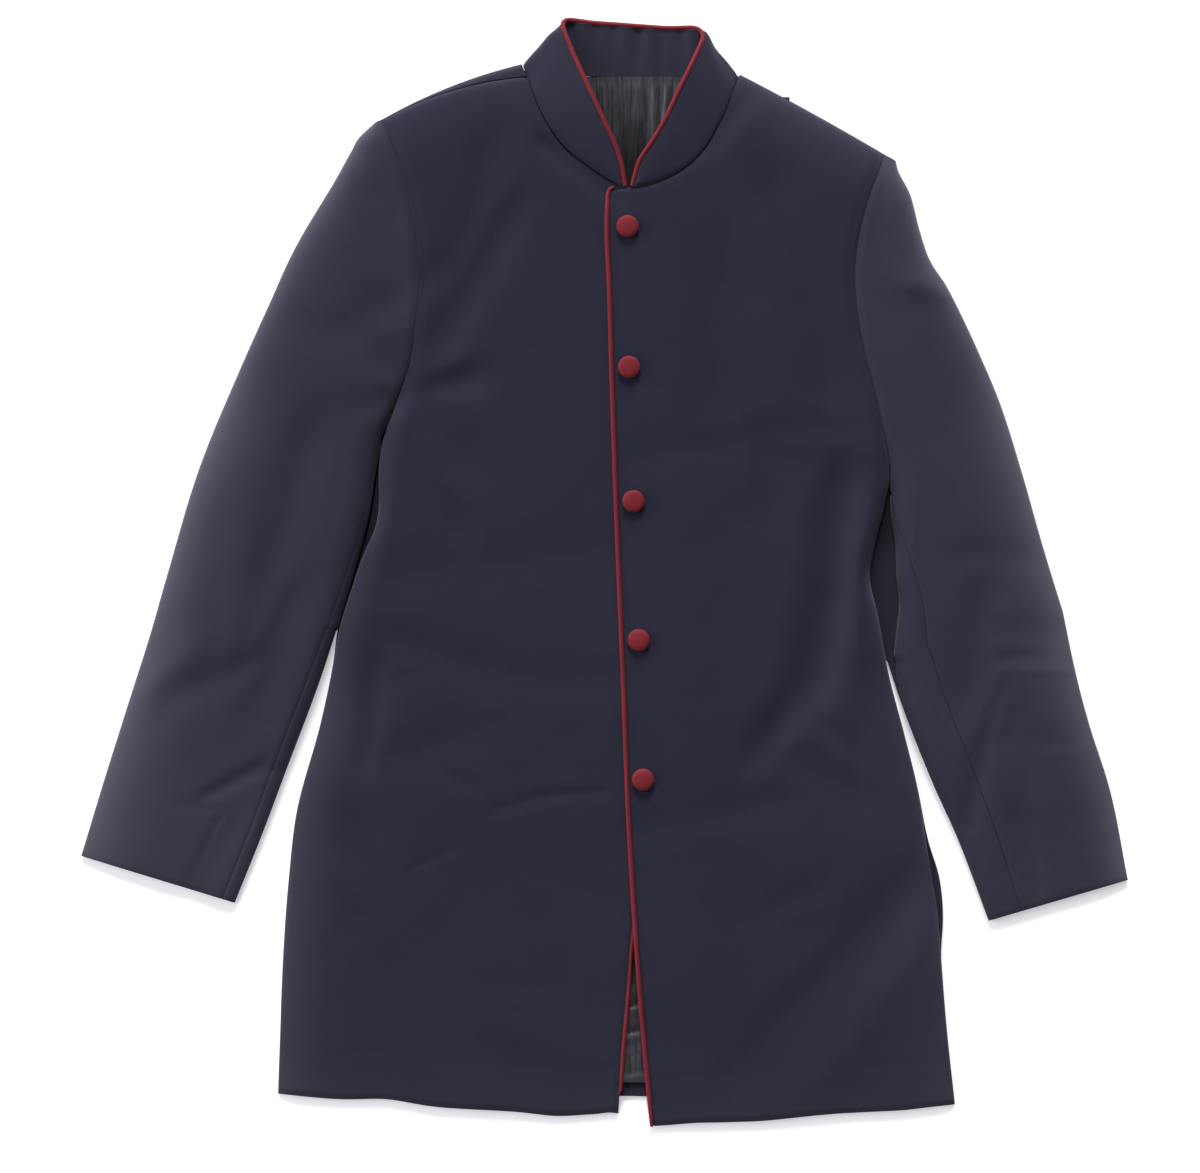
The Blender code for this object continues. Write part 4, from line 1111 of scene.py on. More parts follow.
def back_skin(half, neck, rows, turn_steps, flat_columns, wrap_steps, dressed=True):
    """Grid on the underside of a back half. It turns up at the side, and at the shoulder."""
    y = half.height_of(rows)
    hem, yoke_y = half.levels[0], half.levels[3]
    seam_x = CENTRE_BACK + half.sign * SEAM_GAP / 40
    flat_inset = SHOULDER_FOLD if half is RIGHT else 0.0

    def top(share):
        return half.shoulder_point(share, flat_inset)

    reach = (top(0.0)[1] - yoke_y) / (half.tip[1] - yoke_y)
    outer_y = np.where(rows > YOKE_ROW, yoke_y + (y - yoke_y) * reach, y)
    outer = np.stack([half.side.at(outer_y, "back_x"), outer_y], axis=-1)
    outer[:, 1] += (half.hem_back - hem) * np.clip(1 - rows, 0, 1)
    if dressed:
        outer[:, 0] += half.sign * UNDERARM_REACH * dip(outer_y - half.underarm, UNDERARM_WIDTH)
    share = np.clip((y - hem) / (yoke_y - hem), 0, 1)
    inner = np.stack([np.full_like(y, seam_x), HEM_CENTRE + (NAPE - HEM_CENTRE) * share], axis=-1)
    on_neck = rows > YOKE_ROW
    along = np.clip((rows - YOKE_ROW) / TOP_ROWS, 0, 1)
    inner[on_neck] = (neck.at(along) + (half.sign * SEAM_GAP / 2, 0))[on_neck]
    late = np.clip((rows - LAST_ROW + 1), 0, 1)[:, None] ** 2
    corner = top(1.0) + (NECK_CORNER if half is LEFT else 0)
    outer += (top(0.0) - outer[-1]) * late
    inner += (corner - inner[-1]) * late
    width = np.linalg.norm(inner - outer, axis=1)
    turn = LOWER_EDGE * (1 - np.cos(np.arange(turn_steps) / turn_steps * math.pi / 2))
    flat = np.linspace(0, 1, flat_columns)
    places = np.concatenate(
        [np.tile(turn, (len(rows), 1)), LOWER_EDGE + (width - LOWER_EDGE)[:, None] * flat], 1
    )
    plan = plan_grid(rows, outer, inner, top, BACK_HEM_BEND, places)
    free = 1 - ease((half.edge(y) - UPPER_EDGE) / 6)
    height = curl(places, LOWER_EDGE) * free[:, None]
    if half is LEFT:
        to_top = np.linalg.norm(plan[-1:] - plan, axis=-1)
        height = np.maximum(height, curl(to_top, LOWER_EDGE))
    skin = np.concatenate([plan, height[..., None]], axis=-1)
    if half is RIGHT:
        skin = np.concatenate([skin, shoulder_wrap(half, places[-1], wrap_steps)])
    return skin


def shoulder_wrap(half, places, steps):
    """Rows that carry the right back over the shoulder's fold to the shoulder seam."""
    share = places / places[-1]
    inset = seam_inset(share)
    turned = math.pi / 2 + np.arccos(1 - np.minimum(inset / SHOULDER_FOLD, 1.0))
    straight = np.maximum(inset - SHOULDER_FOLD, 0.0)
    rows = []
    for step in range(1, steps + 1):
        travel = (SHOULDER_FOLD * turned + straight) * step / steps
        angle = np.minimum(travel / SHOULDER_FOLD, math.pi)
        beyond = np.maximum(travel - math.pi * SHOULDER_FOLD, 0.0)
        plan = half.shoulder_point(share, SHOULDER_FOLD * (1 - np.sin(angle)) + beyond)
        height = SHOULDER_FOLD * (1 - np.cos(angle))
        rows.append(np.concatenate([plan, height[:, None]], axis=-1))
    return np.array(rows)


print("shoulder's fold round the back, mm:", round(SHOULDER_FOLD * math.pi, 1))

# %% Back panels
BACK_FINE = 5  # rows of the mesh for each row of the pattern
BACK_FLAT = 60
BACK_TURN_STEPS = 5
BACK_WRAP_STEPS = 24
PAINTED_SHEEN_BACK = 0.16  # painted sheen where the back turns up and shows, at the vent and over the shoulder

back_rows = np.linspace(0, LAST_ROW, LAST_ROW * BACK_FINE + 1)
backs = {}
for name, (half, neck) in {"right": (RIGHT, NECK_BACK_RIGHT), "left": (LEFT, NECK_BACK_LEFT)}.items():
    skin = back_skin(half, neck, back_rows, BACK_TURN_STEPS, BACK_FLAT, BACK_WRAP_STEPS)
    y = half.height_of(back_rows)
    y = np.concatenate([y, np.full(len(skin) - len(y), y[-1])])
    normals = side_normals(half, y, skin, half.sign, -1)
    if half is LEFT:
        normals[-1] = (*-half.inward, 0)
    # painted sheen, paler where the back turns up from the floor
    painted_light_and_shade = PAINTED_SHEEN_BACK * ease((skin[..., 2] - LOWER_EDGE) / 4)
    backs[name] = add_shell(
        "back_cloth_" + name, skin, normals, BACK_WALL, half.sign, wool_body, painted_light_and_shade
    )
    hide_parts("back_" + name)
    print(name, "back points:", skin.shape)

# %% [markdown]
# ## The lining
# A lining is cut larger than the cloth, so it lies in soft upright gathers under the neck, and it
# is hemmed short of the cloth's own hem with a little spare length. It shows only in the neck and
# in the slit, so its grid is fine there and wide elsewhere.

# %% Lining measures
LINING_BASE = BACK_WALL + SEAM_GAP
LINING_WALL = 1.0
LINING_HEM, LINING_TOP = -425.5, 412.2
SLIT_TOP, NECK_LOW = -335, 300  # y between which the fronts hide the lining
NECK_ENDS = (-46, 96)  # x of its ends under the collar
FINE_FROM, FINE_TO, FINE_STEP = -34, 84, 1.5  # x of the columns that show
LINING_LIFT = 0.9  # how far it stands off the back where it shows
GATHER_DEPTH = 0.62
FAN_MIDDLE, FAN_REACH = 25, 400  # the gathers spread from above the nape
GATHERS = Table(  # upright folds under the neck: middle, width and height
    "x width height",
    (-16, 3, 1.0), (-9, 2, -0.6), (-2, 4, 1.2), (8, 3.5, 1.3), (14, 2, -0.7), (20, 3, 1.1),
    (27, 3, 1.9), (35, 3, -1.0), (43.5, 2.4, 2.0), (48, 1.6, -0.8), (52.5, 2.2, 1.9),
    (58, 2, -0.8), (64, 4, 1.4),
)
TUCKS = Table(  # level folds of spare length in the slit
    "y width height", (-352, 5, 1.2), (-361, 2.2, -1.0), (-366, 4, 1.3), (-376, 4, 0.8),
    (-383, 2, -1.0), (-388, 3, 1.2), (-400, 3, 0.5), (-407, 3, 0.5), (-417, 1.6, -0.7),
    (-422, 2.5, 0.8),
)


def lining_skin():
    """Grid on the upper side of the back lining, well inside the back's edges."""
    y = np.concatenate([
        np.arange(LINING_HEM, -330, 2), np.arange(-330, 290, 20), np.arange(290, 410, 2.5),
        [410.0, LINING_TOP],
    ])
    ends = []
    for half, neck_end in zip((RIGHT, LEFT), NECK_ENDS):
        inset = 16 + 60 * ease((y - 240) / 130)
        x = half.side.at(np.minimum(y, half.tip[1] - 10), "back_x") - half.sign * inset
        ends.append(np.where(y > 395, neck_end, x))
    middle = np.arange(FINE_FROM, FINE_TO, FINE_STEP)
    shares = np.linspace(0, 1, 12)
    left_part = ends[0][:, None] + (middle[0] - FINE_STEP - ends[0])[:, None] * shares
    right_part = middle[-1] + FINE_STEP + (ends[1] - middle[-1] - FINE_STEP)[:, None] * shares
    x = np.concatenate([left_part, np.tile(middle, (len(y), 1)), right_part], axis=1)
    rows = np.tile(y[:, None], (1, x.shape[1]))
    at_neck = ease((rows - NECK_LOW) / 40)
    in_slit = ease((SLIT_TOP - rows) / 15)
    below_seam = at_neck * ease((412 - rows) / 12)
    z = LINING_BASE + LINING_WALL + LINING_LIFT * (below_seam + in_slit)
    for centre, width, height in GATHERS.rows:
        lean = centre + (centre - FAN_MIDDLE) * (rows - NAPE) / FAN_REACH
        swing = 1.2 * np.sin(rows / 23 + centre)
        z += GATHER_DEPTH * height * below_seam * dip(x - lean - swing, width)
    for centre, width, height in TUCKS.rows:
        z += height * in_slit * dip(rows - centre - 1.2 * np.sin(x / 4), width)
    z += 0.25 * in_slit * np.sin(x / 0.9) * dip(rows + 408, 8)
    return np.stack([x, rows, np.maximum(z, LINING_BASE + LINING_WALL)], axis=-1)


print("gathers and tucks:", len(GATHERS.rows), len(TUCKS.rows))

# %% Lining
SLIT_SHADE, NECK_SHADE = 0.1, 0.8

skin = lining_skin()
y = skin[..., 1]
# painted shade: the satin is drawn a little darker in the slit and much darker low in the neck
painted_light_and_shade = -SLIT_SHADE * ease((SLIT_TOP - y) / 15)
painted_light_and_shade -= NECK_SHADE * ease((388 - y) / 50) * ease((y - 250) / 40)
lining = add_shell("lining_satin", skin, grid_normals(skin, 1), LINING_WALL, 1, lining_satin, painted_light_and_shade)
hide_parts("back_lining")
print("lining points:", skin.shape)

# %% [markdown]
# ## The sleeves
# A tailored sleeve has two pieces. The top sleeve shows nearly whole, and the under sleeve wraps
# round its inner edge, so a seam runs down beside that edge. Each station across the sleeve has an
# outer and an inner end, the height of its upper side, the rounding of its edge and the place of
# the seam. Above the armpit the stations stand on the rows of the front, so the armhole seam fits.

# %% Sleeve measures
# Below the armpit, from the cuff up: outer x and y, inner x and y, height, roll and seam.
SLEEVE_RIGHT_LOWER = Line(
    (-436, -237, -308, -276, 6.8, 10, 11),
    (-416, -171, -284, -216, 9, 12, 11),
    (-399, -117, -266, -168, 10.5, 14, 11),
    (-376, -44, -235, -85, 13, 16, 10),
    (-367, -12, -222.6, -47, 14.5, 18, 8),
)
SLEEVE_RIGHT_UPPER = Table(
    "inner_y outer_x outer_y height roll seam",
    (-47, -367, -12, 14.5, 18, 8),
    (49, -339, 82, 17.5, 22, 4),
    (145, -306, 163, 19, 20, 2),
    (205, -281, 219, 19.5, 16, 2),
    (269, -252, 280, 19, 16, 2),
    (304, -226, 323, 18, 16, 2),
    (339, -211.5, 349, 17.5, 14, 2),
    (362, -203, 363, 14.5, 12, 2),
    (376, -191, 374, 9.4, 8, 2),
)
SLEEVE_LEFT_LOWER = Line(
    (436, -257, 320, -291, 6.8, 10, 28),
    (420, -178, 293, -220, 9, 14, 32),
    (404, -128, 274, -178, 10.5, 16, 35),
    (390, -73, 248, -112, 13, 22, 35.5),
    (382, -34, 235.0, -73, 14.5, 30, 36.5),
)
SLEEVE_LEFT_UPPER = Table(
    "inner_y outer_x outer_y height roll seam",
    (-73, 382, -34, 14.5, 30, 36.5),
    (-3, 364, 25, 17, 38, 36),
    (53, 347, 85, 18.5, 30, 8),
    (94, 332, 133, 19, 20, 2),
    (148, 311, 184, 19.5, 16, 2),
    (202, 287, 234, 19.5, 16, 2),
    (253, 269, 264, 19, 16, 2),
    (279, 262, 286, 18, 16, 2),
    (304, 255, 313, 17, 16, 2),
    (330, 245, 333, 13, 12, 2),
    (347, 242.5, 342, 8, 6, 2),
)
print("sleeve stations:", len(SLEEVE_RIGHT_UPPER.rows), len(SLEEVE_LEFT_UPPER.rows))

# %% [markdown]
# The upper side of a sleeve swells from its outer edge like half a cushion, and sinks at its inner
# edge to the body. Where sleeve and body part, the lower of the two has a flat strip at the foot of
# a steep wall. The top sleeve ends on the seam. The under sleeve starts below the outer edge, lies
# flat on the floor and comes round the inner edge up to the same seam. In the cap, where both are
# sewn to the body, it ends below the armhole instead, so the two shapes are mixed by `sewn`.

# %% Sleeve surfaces
LOWER_ROWS = 9 * FINE
LEAST_SEAM = 2.0
OUTER_ROLL = {RIGHT: 0.52, LEFT: 0.42}  # share of the width that the outer edge rounds over
MOST_ROLL = 0.45  # share of the width that the inner edge rounds over, at most
SEAM_DENT, SEAM_DENT_WIDTH = 0.55, 1.5
CAP_EASE = 0.5  # the cap puffs up beside the armhole seam, where it is eased in
CUFF_TURN, CUFF_DENT, CUFF_HEM = 0.9, 0.25, 36  # mm: its drop, its hem line's depth and place
TOP_TURN_STEPS, TOP_COLUMNS = 16, 40
TURN_STEPS, FLAT_STEPS, FOOT_STEPS, WALL_STEPS = 6, 8, 6, 18
FLAT_FROM, FLAT_TO = 0.08, 0.92  # shares of the flat underside between which its columns stand
CAP_SPREAD = 14.0


class Sleeve:
    """The stations of a sleeve, from its cuff to the shoulder, as arrays."""

    def __init__(self, half, lower, upper):
        self.half = half
        shares = np.linspace(0, 1, LOWER_ROWS + 1)[:-1]
        low = lower.at(shares)
        rows = np.linspace(FREE_ROWS, LAST_ROW, (LAST_ROW - FREE_ROWS) * FINE + 1)
        y = half.height_of(rows)
        high = np.stack([upper.at(y, name) for name in ("outer_x", "outer_y")], axis=-1)
        inner = np.stack([half.side.at(y, "x") - half.sign * TUCK, y], axis=-1)
        self.outer = np.concatenate([low[:, :2], high])
        self.inner = np.concatenate([low[:, 2:4], inner])
        columns = [upper.at(y, name) for name in ("height", "roll", "seam")]
        self.height, self.roll, self.seam = (
            np.concatenate([low[:, 4 + k], column]) for k, column in enumerate(columns)
        )
        self.seam = np.maximum(self.seam, LEAST_SEAM)
        self.hollow = np.zeros(len(self.seam))
        if half is LEFT:
            self.hollow = half.hollow(np.concatenate([low[:, 3], y]))
            self.roll = np.maximum(self.roll, self.hollow + VALLEY_WALL)
        sewn = ease((half.edge(y) - UPPER_EDGE - 0.4) / 2.4)
        edge = UPPER_EDGE + (np.maximum(armhole_height(half, y), SEWN_EDGE) - UPPER_EDGE) * sewn
        self.sewn = np.concatenate([np.zeros(len(shares)), sewn])
        self.edge = np.concatenate([np.full(len(shares), UPPER_EDGE), edge])
        self.width = np.linalg.norm(self.inner - self.outer, axis=1)
        self.outer_roll = self.width * OUTER_ROLL[half]
        steps = np.linalg.norm(np.diff((self.outer + self.inner) / 2, axis=0), axis=1)
        self.from_cuff = np.concatenate([[0.0], np.cumsum(steps)])

    def plan(self, places):
        shares = places / self.width[:, None]
        return self.outer[:, None] + (self.inner - self.outer)[:, None] * shares[..., None]

    def height_at(self, places):
        """Height of the sleeve's upper side at distances in from its outer edge."""
        x, y = np.moveaxis(self.plan(places), -1, 0)
        crown = self.height[:, None]
        top = crown + relief(x, y, crown - LAYERS_BELOW) + ripple(x, y)
        rounded = UPPER_EDGE + (top - UPPER_EDGE) * swell(places, self.outer_roll[:, None])
        hollow = self.hollow[:, None]
        roll = np.minimum(self.roll, MOST_ROLL * self.width)[:, None]
        edge = self.edge[:, None]
        inside = np.maximum(self.width[:, None] - places - hollow, 0)
        return edge + (rounded - edge) * swell(inside, np.maximum(roll - hollow, 2))

    def cuff(self):
        """The turned edge of the cuff, and the faint line where its hem ends inside."""
        distance = self.from_cuff[:, None]
        return -CUFF_TURN * (1 - swell(distance, 2.0)) - CUFF_DENT * dip(distance - CUFF_HEM, 3)

    def top_skin(self):
        end = self.width - (self.seam + SEAM_GAP) * (1 - self.sewn)
        outer_roll = np.minimum(self.outer_roll, end * 0.6)
        turn = 1 - np.cos(np.arange(TOP_TURN_STEPS) / TOP_TURN_STEPS * math.pi / 2)
        flat = 1 - (1 - np.linspace(0, 1, TOP_COLUMNS)) ** WALL_CROWDING
        places = np.concatenate(
            [outer_roll[:, None] * turn, outer_roll[:, None] + (end - outer_roll)[:, None] * flat], 1
        )
        from_seam = end[:, None] - places
        height = self.height_at(places) + self.cuff() - SEAM_DENT * dip(from_seam, SEAM_DENT_WIDTH)
        height += CAP_EASE * self.sewn[:, None] * dip(from_seam - 6, 4)
        return np.concatenate([self.plan(places), height[..., None]], axis=-1)

    def under_skin(self):
        """Grid on the underside, round the inner edge and up to the seam, below the armpit."""
        width = self.width[:, None]
        turn = LOWER_EDGE * (1 - np.cos(np.arange(TURN_STEPS) / (TURN_STEPS - 1) * math.pi / 2))
        narrow = np.minimum(1.0, 0.3 * width / LOWER_EDGE)
        rise = np.tile(curl(turn, LOWER_EDGE), (len(width), 1))
        shares = np.linspace(FLAT_FROM, FLAT_TO, FLAT_STEPS)
        middle = LOWER_EDGE + (width - 2 * LOWER_EDGE) * shares
        low = np.maximum(self.hollow, THIN_STRIP)[:, None]
        up_wall = (np.arange(1, WALL_STEPS + 1) / WALL_STEPS) ** 1.3
        wall = low + (self.seam[:, None] - low) * up_wall
        over = np.concatenate([low * np.arange(1, FOOT_STEPS + 1) / FOOT_STEPS, wall], 1)
        over_height = self.height_at(width - over) + self.cuff()
        over_height -= SEAM_DENT * dip(self.seam[:, None] - over, SEAM_DENT_WIDTH)
        free_places = np.concatenate([turn * narrow, middle, width - turn[::-1], width - over], 1)
        free_height = np.concatenate([rise, np.zeros_like(middle), rise[:, ::-1], over_height], 1)
        spread = np.minimum(CAP_SPREAD, 0.4 * width)
        middle = LOWER_EDGE + (width - spread - LOWER_EDGE) * shares
        edge = width - spread * np.linspace(1, 0, len(turn) + over.shape[1])
        sewn_places = np.concatenate([turn * narrow, middle, edge], axis=1)
        sewn_height = np.concatenate([rise, np.zeros_like(middle), np.zeros_like(edge)], axis=1)
        sewn = self.sewn[:, None]
        places = free_places + (sewn_places - free_places) * sewn
        height = free_height + (sewn_height - free_height) * sewn
        return np.concatenate([self.plan(places), height[..., None]], axis=-1)

    def normals(self, skin, facing, up):
        normals = grid_normals(skin, facing)
        normals[:, 0, 2] = 0
        sewn = self.sewn[:, None]
        upright = unit(normals[:, -1] * (1 - sewn) + np.array([0, 0, up]) * sewn)
        normals[:, -1] = upright
        return normals


print("columns of an under sleeve:", 2 * TURN_STEPS + FLAT_STEPS + FOOT_STEPS + WALL_STEPS)

# %% [markdown]
# A pale painted sheen lies along the outer edge of a sleeve, where it turns away, and less of it in the
# cap. Near the cuff the right sleeve is drawn a little paler all over and the left one a little darker.
# Towards the body the wool has painted shade, but less so where the right-hand valley opens.

# %% Painted sheen and shade of a sleeve
PAINTED_SHEEN_OUTER = {RIGHT: 0.82, LEFT: 0.95}
LESS_AT_CAP = 0.25


def sleeve_painted_light(sleeve, skin):
    """Painted sheen along a sleeve's outer edge, and painted shade where the body shades it."""
    y = sleeve.outer[:, 1]
    at_cap, at_cuff = ease((y - 110) / 80), ease((FREE_BELOW - y) / 120)
    if sleeve.half is RIGHT:
        reach, all_over = 24 - 12 * at_cap, 0.10 * at_cuff
    else:
        reach, all_over = 19 - 8 * at_cap - 5 * at_cuff, -0.04 * at_cuff
    most = PAINTED_SHEEN_OUTER[sleeve.half] - LESS_AT_CAP * at_cap
    from_outer = np.linalg.norm(skin[..., :2] - sleeve.outer[:, None], axis=-1)
    # painted sheen along the outer edge, with the cuff drawn paler on the right and darker on the left
    painted_light_and_shade = most[:, None] * np.exp(-((from_outer / reach[:, None]) ** 1.2)) + all_over[:, None]
    # painted shade where the sleeve lies beside the body
    inner_y = sleeve.inner[:, 1]
    beside_body = ease((inner_y + 105) / 50) * ease((sleeve.half.underarm + 20 - inner_y) / 30)
    from_inner = np.linalg.norm(skin[..., :2] - sleeve.inner[:, None], axis=-1)
    from_wall = np.maximum(from_inner - sleeve.hollow[:, None], 0)
    shut_in = 0.55 + 0.45 * ease((inner_y - 5) / 30)
    painted_light_and_shade -= VALLEY_SHADE * (beside_body * shut_in)[:, None] * np.exp(-from_wall / SHADE_REACH)
    return np.clip(painted_light_and_shade, -1, 1)


print("nap on the outer edges:", PAINTED_SHEEN_OUTER[RIGHT], PAINTED_SHEEN_OUTER[LEFT])

# %% Sleeves
sleeves = {}
for name, half, lower, upper, cloth in (
    ("right", RIGHT, SLEEVE_RIGHT_LOWER, SLEEVE_RIGHT_UPPER, wool_right),
    ("left", LEFT, SLEEVE_LEFT_LOWER, SLEEVE_LEFT_UPPER, wool_left),
):
    sleeve = Sleeve(half, lower, upper)
    for layer, skin, facing, up in (
        ("top", sleeve.top_skin(), -half.sign, 1),
        ("under", sleeve.under_skin(), half.sign, -1),
    ):
        normals = sleeve.normals(skin, facing, up)
        title = f"sleeve_cloth_{name}_{layer}"
        painted_light_and_shade = sleeve_painted_light(sleeve, skin)
        piece = add_shell(title, skin, normals, SLEEVE_WALL, facing, cloth, painted_light_and_shade)
        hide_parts(f"sleeve_{name}_{layer}")
        sleeves[name, layer] = piece
        print(title, "points:", skin.shape)

# %% [markdown]
# ## The collar
# The band stands on the neck seam. Laid flat it folds at both sides of the neck, so the front parts
# show their outer side and the nape shows its inner side. Its sections run from the seam to the
# piped edge, all the way round, and the piping follows the outer points.

# %% Collar measures
COLLAR_WALL = 2.0
COLLAR_GAP = 0.6
COLLAR_CROWN = 1.2
COLLAR_TOP_RIGHT = Line(
    (16.8, 320.8, 20.3), (15.8, 330, 21.5), (13.2, 343, 23), (8.4, 356, 24), (1.6, 370, 24.5),
    (-7.6, 390, 24), (-16.8, 410, 21.5), (-26.0, 430, 17), (-33.8, 450, 12),
)
COLLAR_FOLD_RIGHT = Line(
    (-33.8, 450, 12), (-36.0, 456, 9.5), (-36.4, 459.2, 6.2), (-35, 460.4, 3.4), (-31, 460.2, 2),
)
COLLAR_NAPE = Line(
    (-31, 460.2, 2), (-20, 458.8, 1.9), (-9, 456.9, 1.9), (12, 455.6, 1.9), (34, 453.9, 1.9),
    (50, 452.4, 1.9), (68, 453.6, 1.9), (75.5, 453.4, 2),
)
COLLAR_FOLD_LEFT = Line(
    (75.5, 453.4, 2), (81.5, 451.6, 3.4), (83.6, 448.4, 6.2), (83, 444.6, 9.5), (80.6, 439, 12.4),
)
COLLAR_TOP_LEFT = Line(
    (80.6, 439, 12.4), (76.8, 430, 17), (66.6, 410, 22.5), (57.2, 390, 25), (47.8, 370, 26),
    (39, 356, 26), (29.2, 343, 25.2), (23.4, 330, 24), (23.0, 320.4, 22.3),
)


# %% Where the collar starts and ends
def collar_ends():
    """Seam and piping points of each section, from the band's right end round to the left."""
    rows = np.arange(LAST_ROW + 1.0)
    right_front, left_front = (
        front_skin(*FRONTS[name], rows, 4, 9, dressed=False) for name in ("right", "left")
    )
    right_back = back_skin(RIGHT, NECK_BACK_RIGHT, rows, 3, 8, WRAP_STEPS, dressed=False)
    left_back = back_skin(LEFT, NECK_BACK_LEFT, rows, 3, 3, 0, dressed=False)
    count = LAST_ROW + 1
    corner, next_up = left_front[-1, -1], left_front[-2, -1]
    nape = np.concatenate([
        right_back[YOKE_ROW:count, -1][::-3], left_back[YOKE_ROW + 3:count - 1:3, -1],
    ])
    fold = np.array([corner - (0, 0, SEAM_GAP), corner, (corner + next_up) / 2, next_up])
    parts = (
        (right_front[YOKE_ROW + 1:count, -1], COLLAR_TOP_RIGHT, 0, 0),
        (right_back[count:-1, -1][::-1], COLLAR_FOLD_RIGHT, 1, 1),
        (nape, COLLAR_NAPE, 0, 0),
        (fold, COLLAR_FOLD_LEFT, 1, 1),
        (left_front[YOKE_ROW + 1:count - 2, -1][::-1], COLLAR_TOP_LEFT, 0, 0),
    )
    seam, piping = [], []
    for points, line, before, after in parts:
        steps = len(points) - 1 + before + after
        for step, point in enumerate(points):
            seam.append(point)
            piping.append(line.at((step + before) / steps))
    return np.array(seam), np.array(piping)


def refine(lines, count, reach):
    """The same lines with more points, evenly spaced and softened over a few of them."""
    middle = np.mean(lines, axis=0)
    at = np.concatenate([[0.0], np.cumsum(np.linalg.norm(np.diff(middle, axis=0), axis=1))])
    new = np.linspace(0, at[-1], count)
    weights = np.hanning(2 * reach + 3)[1:-1]
    fine = []
    for line in lines:
        points = np.stack([np.interp(new, at, values) for values in line.T], axis=-1)
        before = 2 * points[0] - points[reach:0:-1]
        after = 2 * points[-1] - points[-2:-reach - 2:-1]
        longer = np.concatenate([before, points, after])
        fine.append(np.stack(
            [np.convolve(values, weights / weights.sum(), "valid") for values in longer.T], axis=-1
        ))
    return fine


print("points on the neck seam:", len(collar_ends()[0]))

# %% Collar band
COLLAR_SECTIONS = 360
COLLAR_COLUMNS = 22
COLLAR_SOFTNESS = 6
NAPE_PALER, COLLAR_SEAM_SHADE = 0.10, 0.25
seam_line, piping_line = refine(collar_ends(), COLLAR_SECTIONS, COLLAR_SOFTNESS)
across = unit(piping_line - seam_line)
start = seam_line + across * COLLAR_GAP / 2
end = piping_line - across * (PIPING_RADIUS - TUCK)
shares = np.linspace(0, 1, COLLAR_COLUMNS + 1)
skin = start[:, None] + (end - start)[:, None] * shares[None, :, None]
standing = ease((skin[..., 2] - 6) / 8)
band_width = np.linalg.norm(end - start, axis=1)[:, None]
crown = COLLAR_CROWN * standing * arch(shares)
crown -= 0.7 * dip(shares * band_width, 1.6) + 0.5 * dip((1 - shares) * band_width, 1.4)
crown += 2.0 * (1 - standing) * shares * np.sin(skin[..., 0] / 3.6) * np.sin(skin[..., 0] / 17)
outwards = grid_normals(skin, 1)
skin = skin + outwards * crown[..., None]
skin[..., 2] = np.maximum(skin[..., 2], 0.05)
normals = grid_normals(skin, 1)
# the nape is drawn a little paler, and painted shade lies along the neck seam
painted_light_and_shade = NAPE_PALER * (1 - standing) - COLLAR_SEAM_SHADE * dip(shares * band_width, 2.5)
collar = add_shell("collar_cloth", skin, normals, COLLAR_WALL, 1, wool_collar, painted_light_and_shade)
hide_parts("collar")
print("collar points:", skin.shape)

# %% Collar piping
PIPING_SIDES = 16
PIPING_POINTS = 420
middle_of_edge = piping_line - outwards[:, -1] * COLLAR_WALL / 2
path = refine([middle_of_edge], PIPING_POINTS, 9)[0]
path[:, 2] = np.maximum(path[:, 2], PIPING_RADIUS)
radii = np.full(len(path), PIPING_RADIUS)
collar_piping = sweep("collar_cord", path, radii, PIPING_SIDES, piping_satin)
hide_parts("collar_piping")
print("collar piping points:", len(path))

# %% [markdown]
# ## Piping on the front edges
# A cord in a strip of satin is sewn between the cloth and its facing. At the neck the left front's
# cord bends in under the collar. It narrows a little where the seam pinches it.

# %% Front piping
PIPING_DROP_LEFT = 0.3
PARTING = -330.0  # y below which the fronts part
UNDER_HEM = -431.0  # below here the right front's cord rolls in under its edge
CORD_END = -440.0
LOWEST_CORD = 1.7  # least height of its middle
TUCKED_REACH, TUCKED_RADIUS = 0.7, 0.86  # the right front's cord lies deeper in its seam


def pinched(count, ends=6):
    """Cord radii, uneven by a few hundredths of a millimetre, and drawn in at both ends."""
    k = np.arange(count)
    wobble = 1 + 0.025 * np.sin(k * 0.9) * np.sin(k * 0.23)
    close = np.minimum(1, 0.72 + 0.28 * np.minimum(k, k[::-1]) / ends)
    return PIPING_RADIUS * wobble * close


reach = np.array([PIPING_RADIUS - TUCK, 0.0, 0.0])
yoke = YOKE_ROW * FINE + 1
front_left_edge = front_skins["left"][:yoke, -1] + (0, 0, 0.9)
path = front_left_edge - reach - (0, 0, PIPING_DROP_LEFT)
hook = np.array([path[-1] + step for step in ((0.8, 1.6, -0.3), (2.2, 2.8, -0.9), (4.0, 3.4, -1.9))])
path = np.concatenate([path, hook])
cord = sweep("front_cord_left", path, pinched(len(path)), PIPING_SIDES, piping_satin)
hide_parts("front_left_piping")
path = front_skins["right"][:yoke, -1] + reach * TUCKED_REACH + (0, 0, 0.9)
path[:, 2] -= PIPING_RADIUS * (1 - 0.5 * ease((PARTING - path[:, 1]) / 30))
under_hem = ease((UNDER_HEM - path[:, 1]) / 8)
path[:, 0] -= 3.2 * under_hem
path[:, 2] = np.maximum(path[:, 2] - 1.4 * under_hem, LOWEST_CORD)
path = path[path[:, 1] > CORD_END]
cord = sweep("front_cord_right", path, pinched(len(path)) * TUCKED_RADIUS, PIPING_SIDES, piping_satin)
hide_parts("front_right_piping")
print("piping length, mm:", round(float(np.linalg.norm(np.diff(path, axis=0), axis=1).sum())))

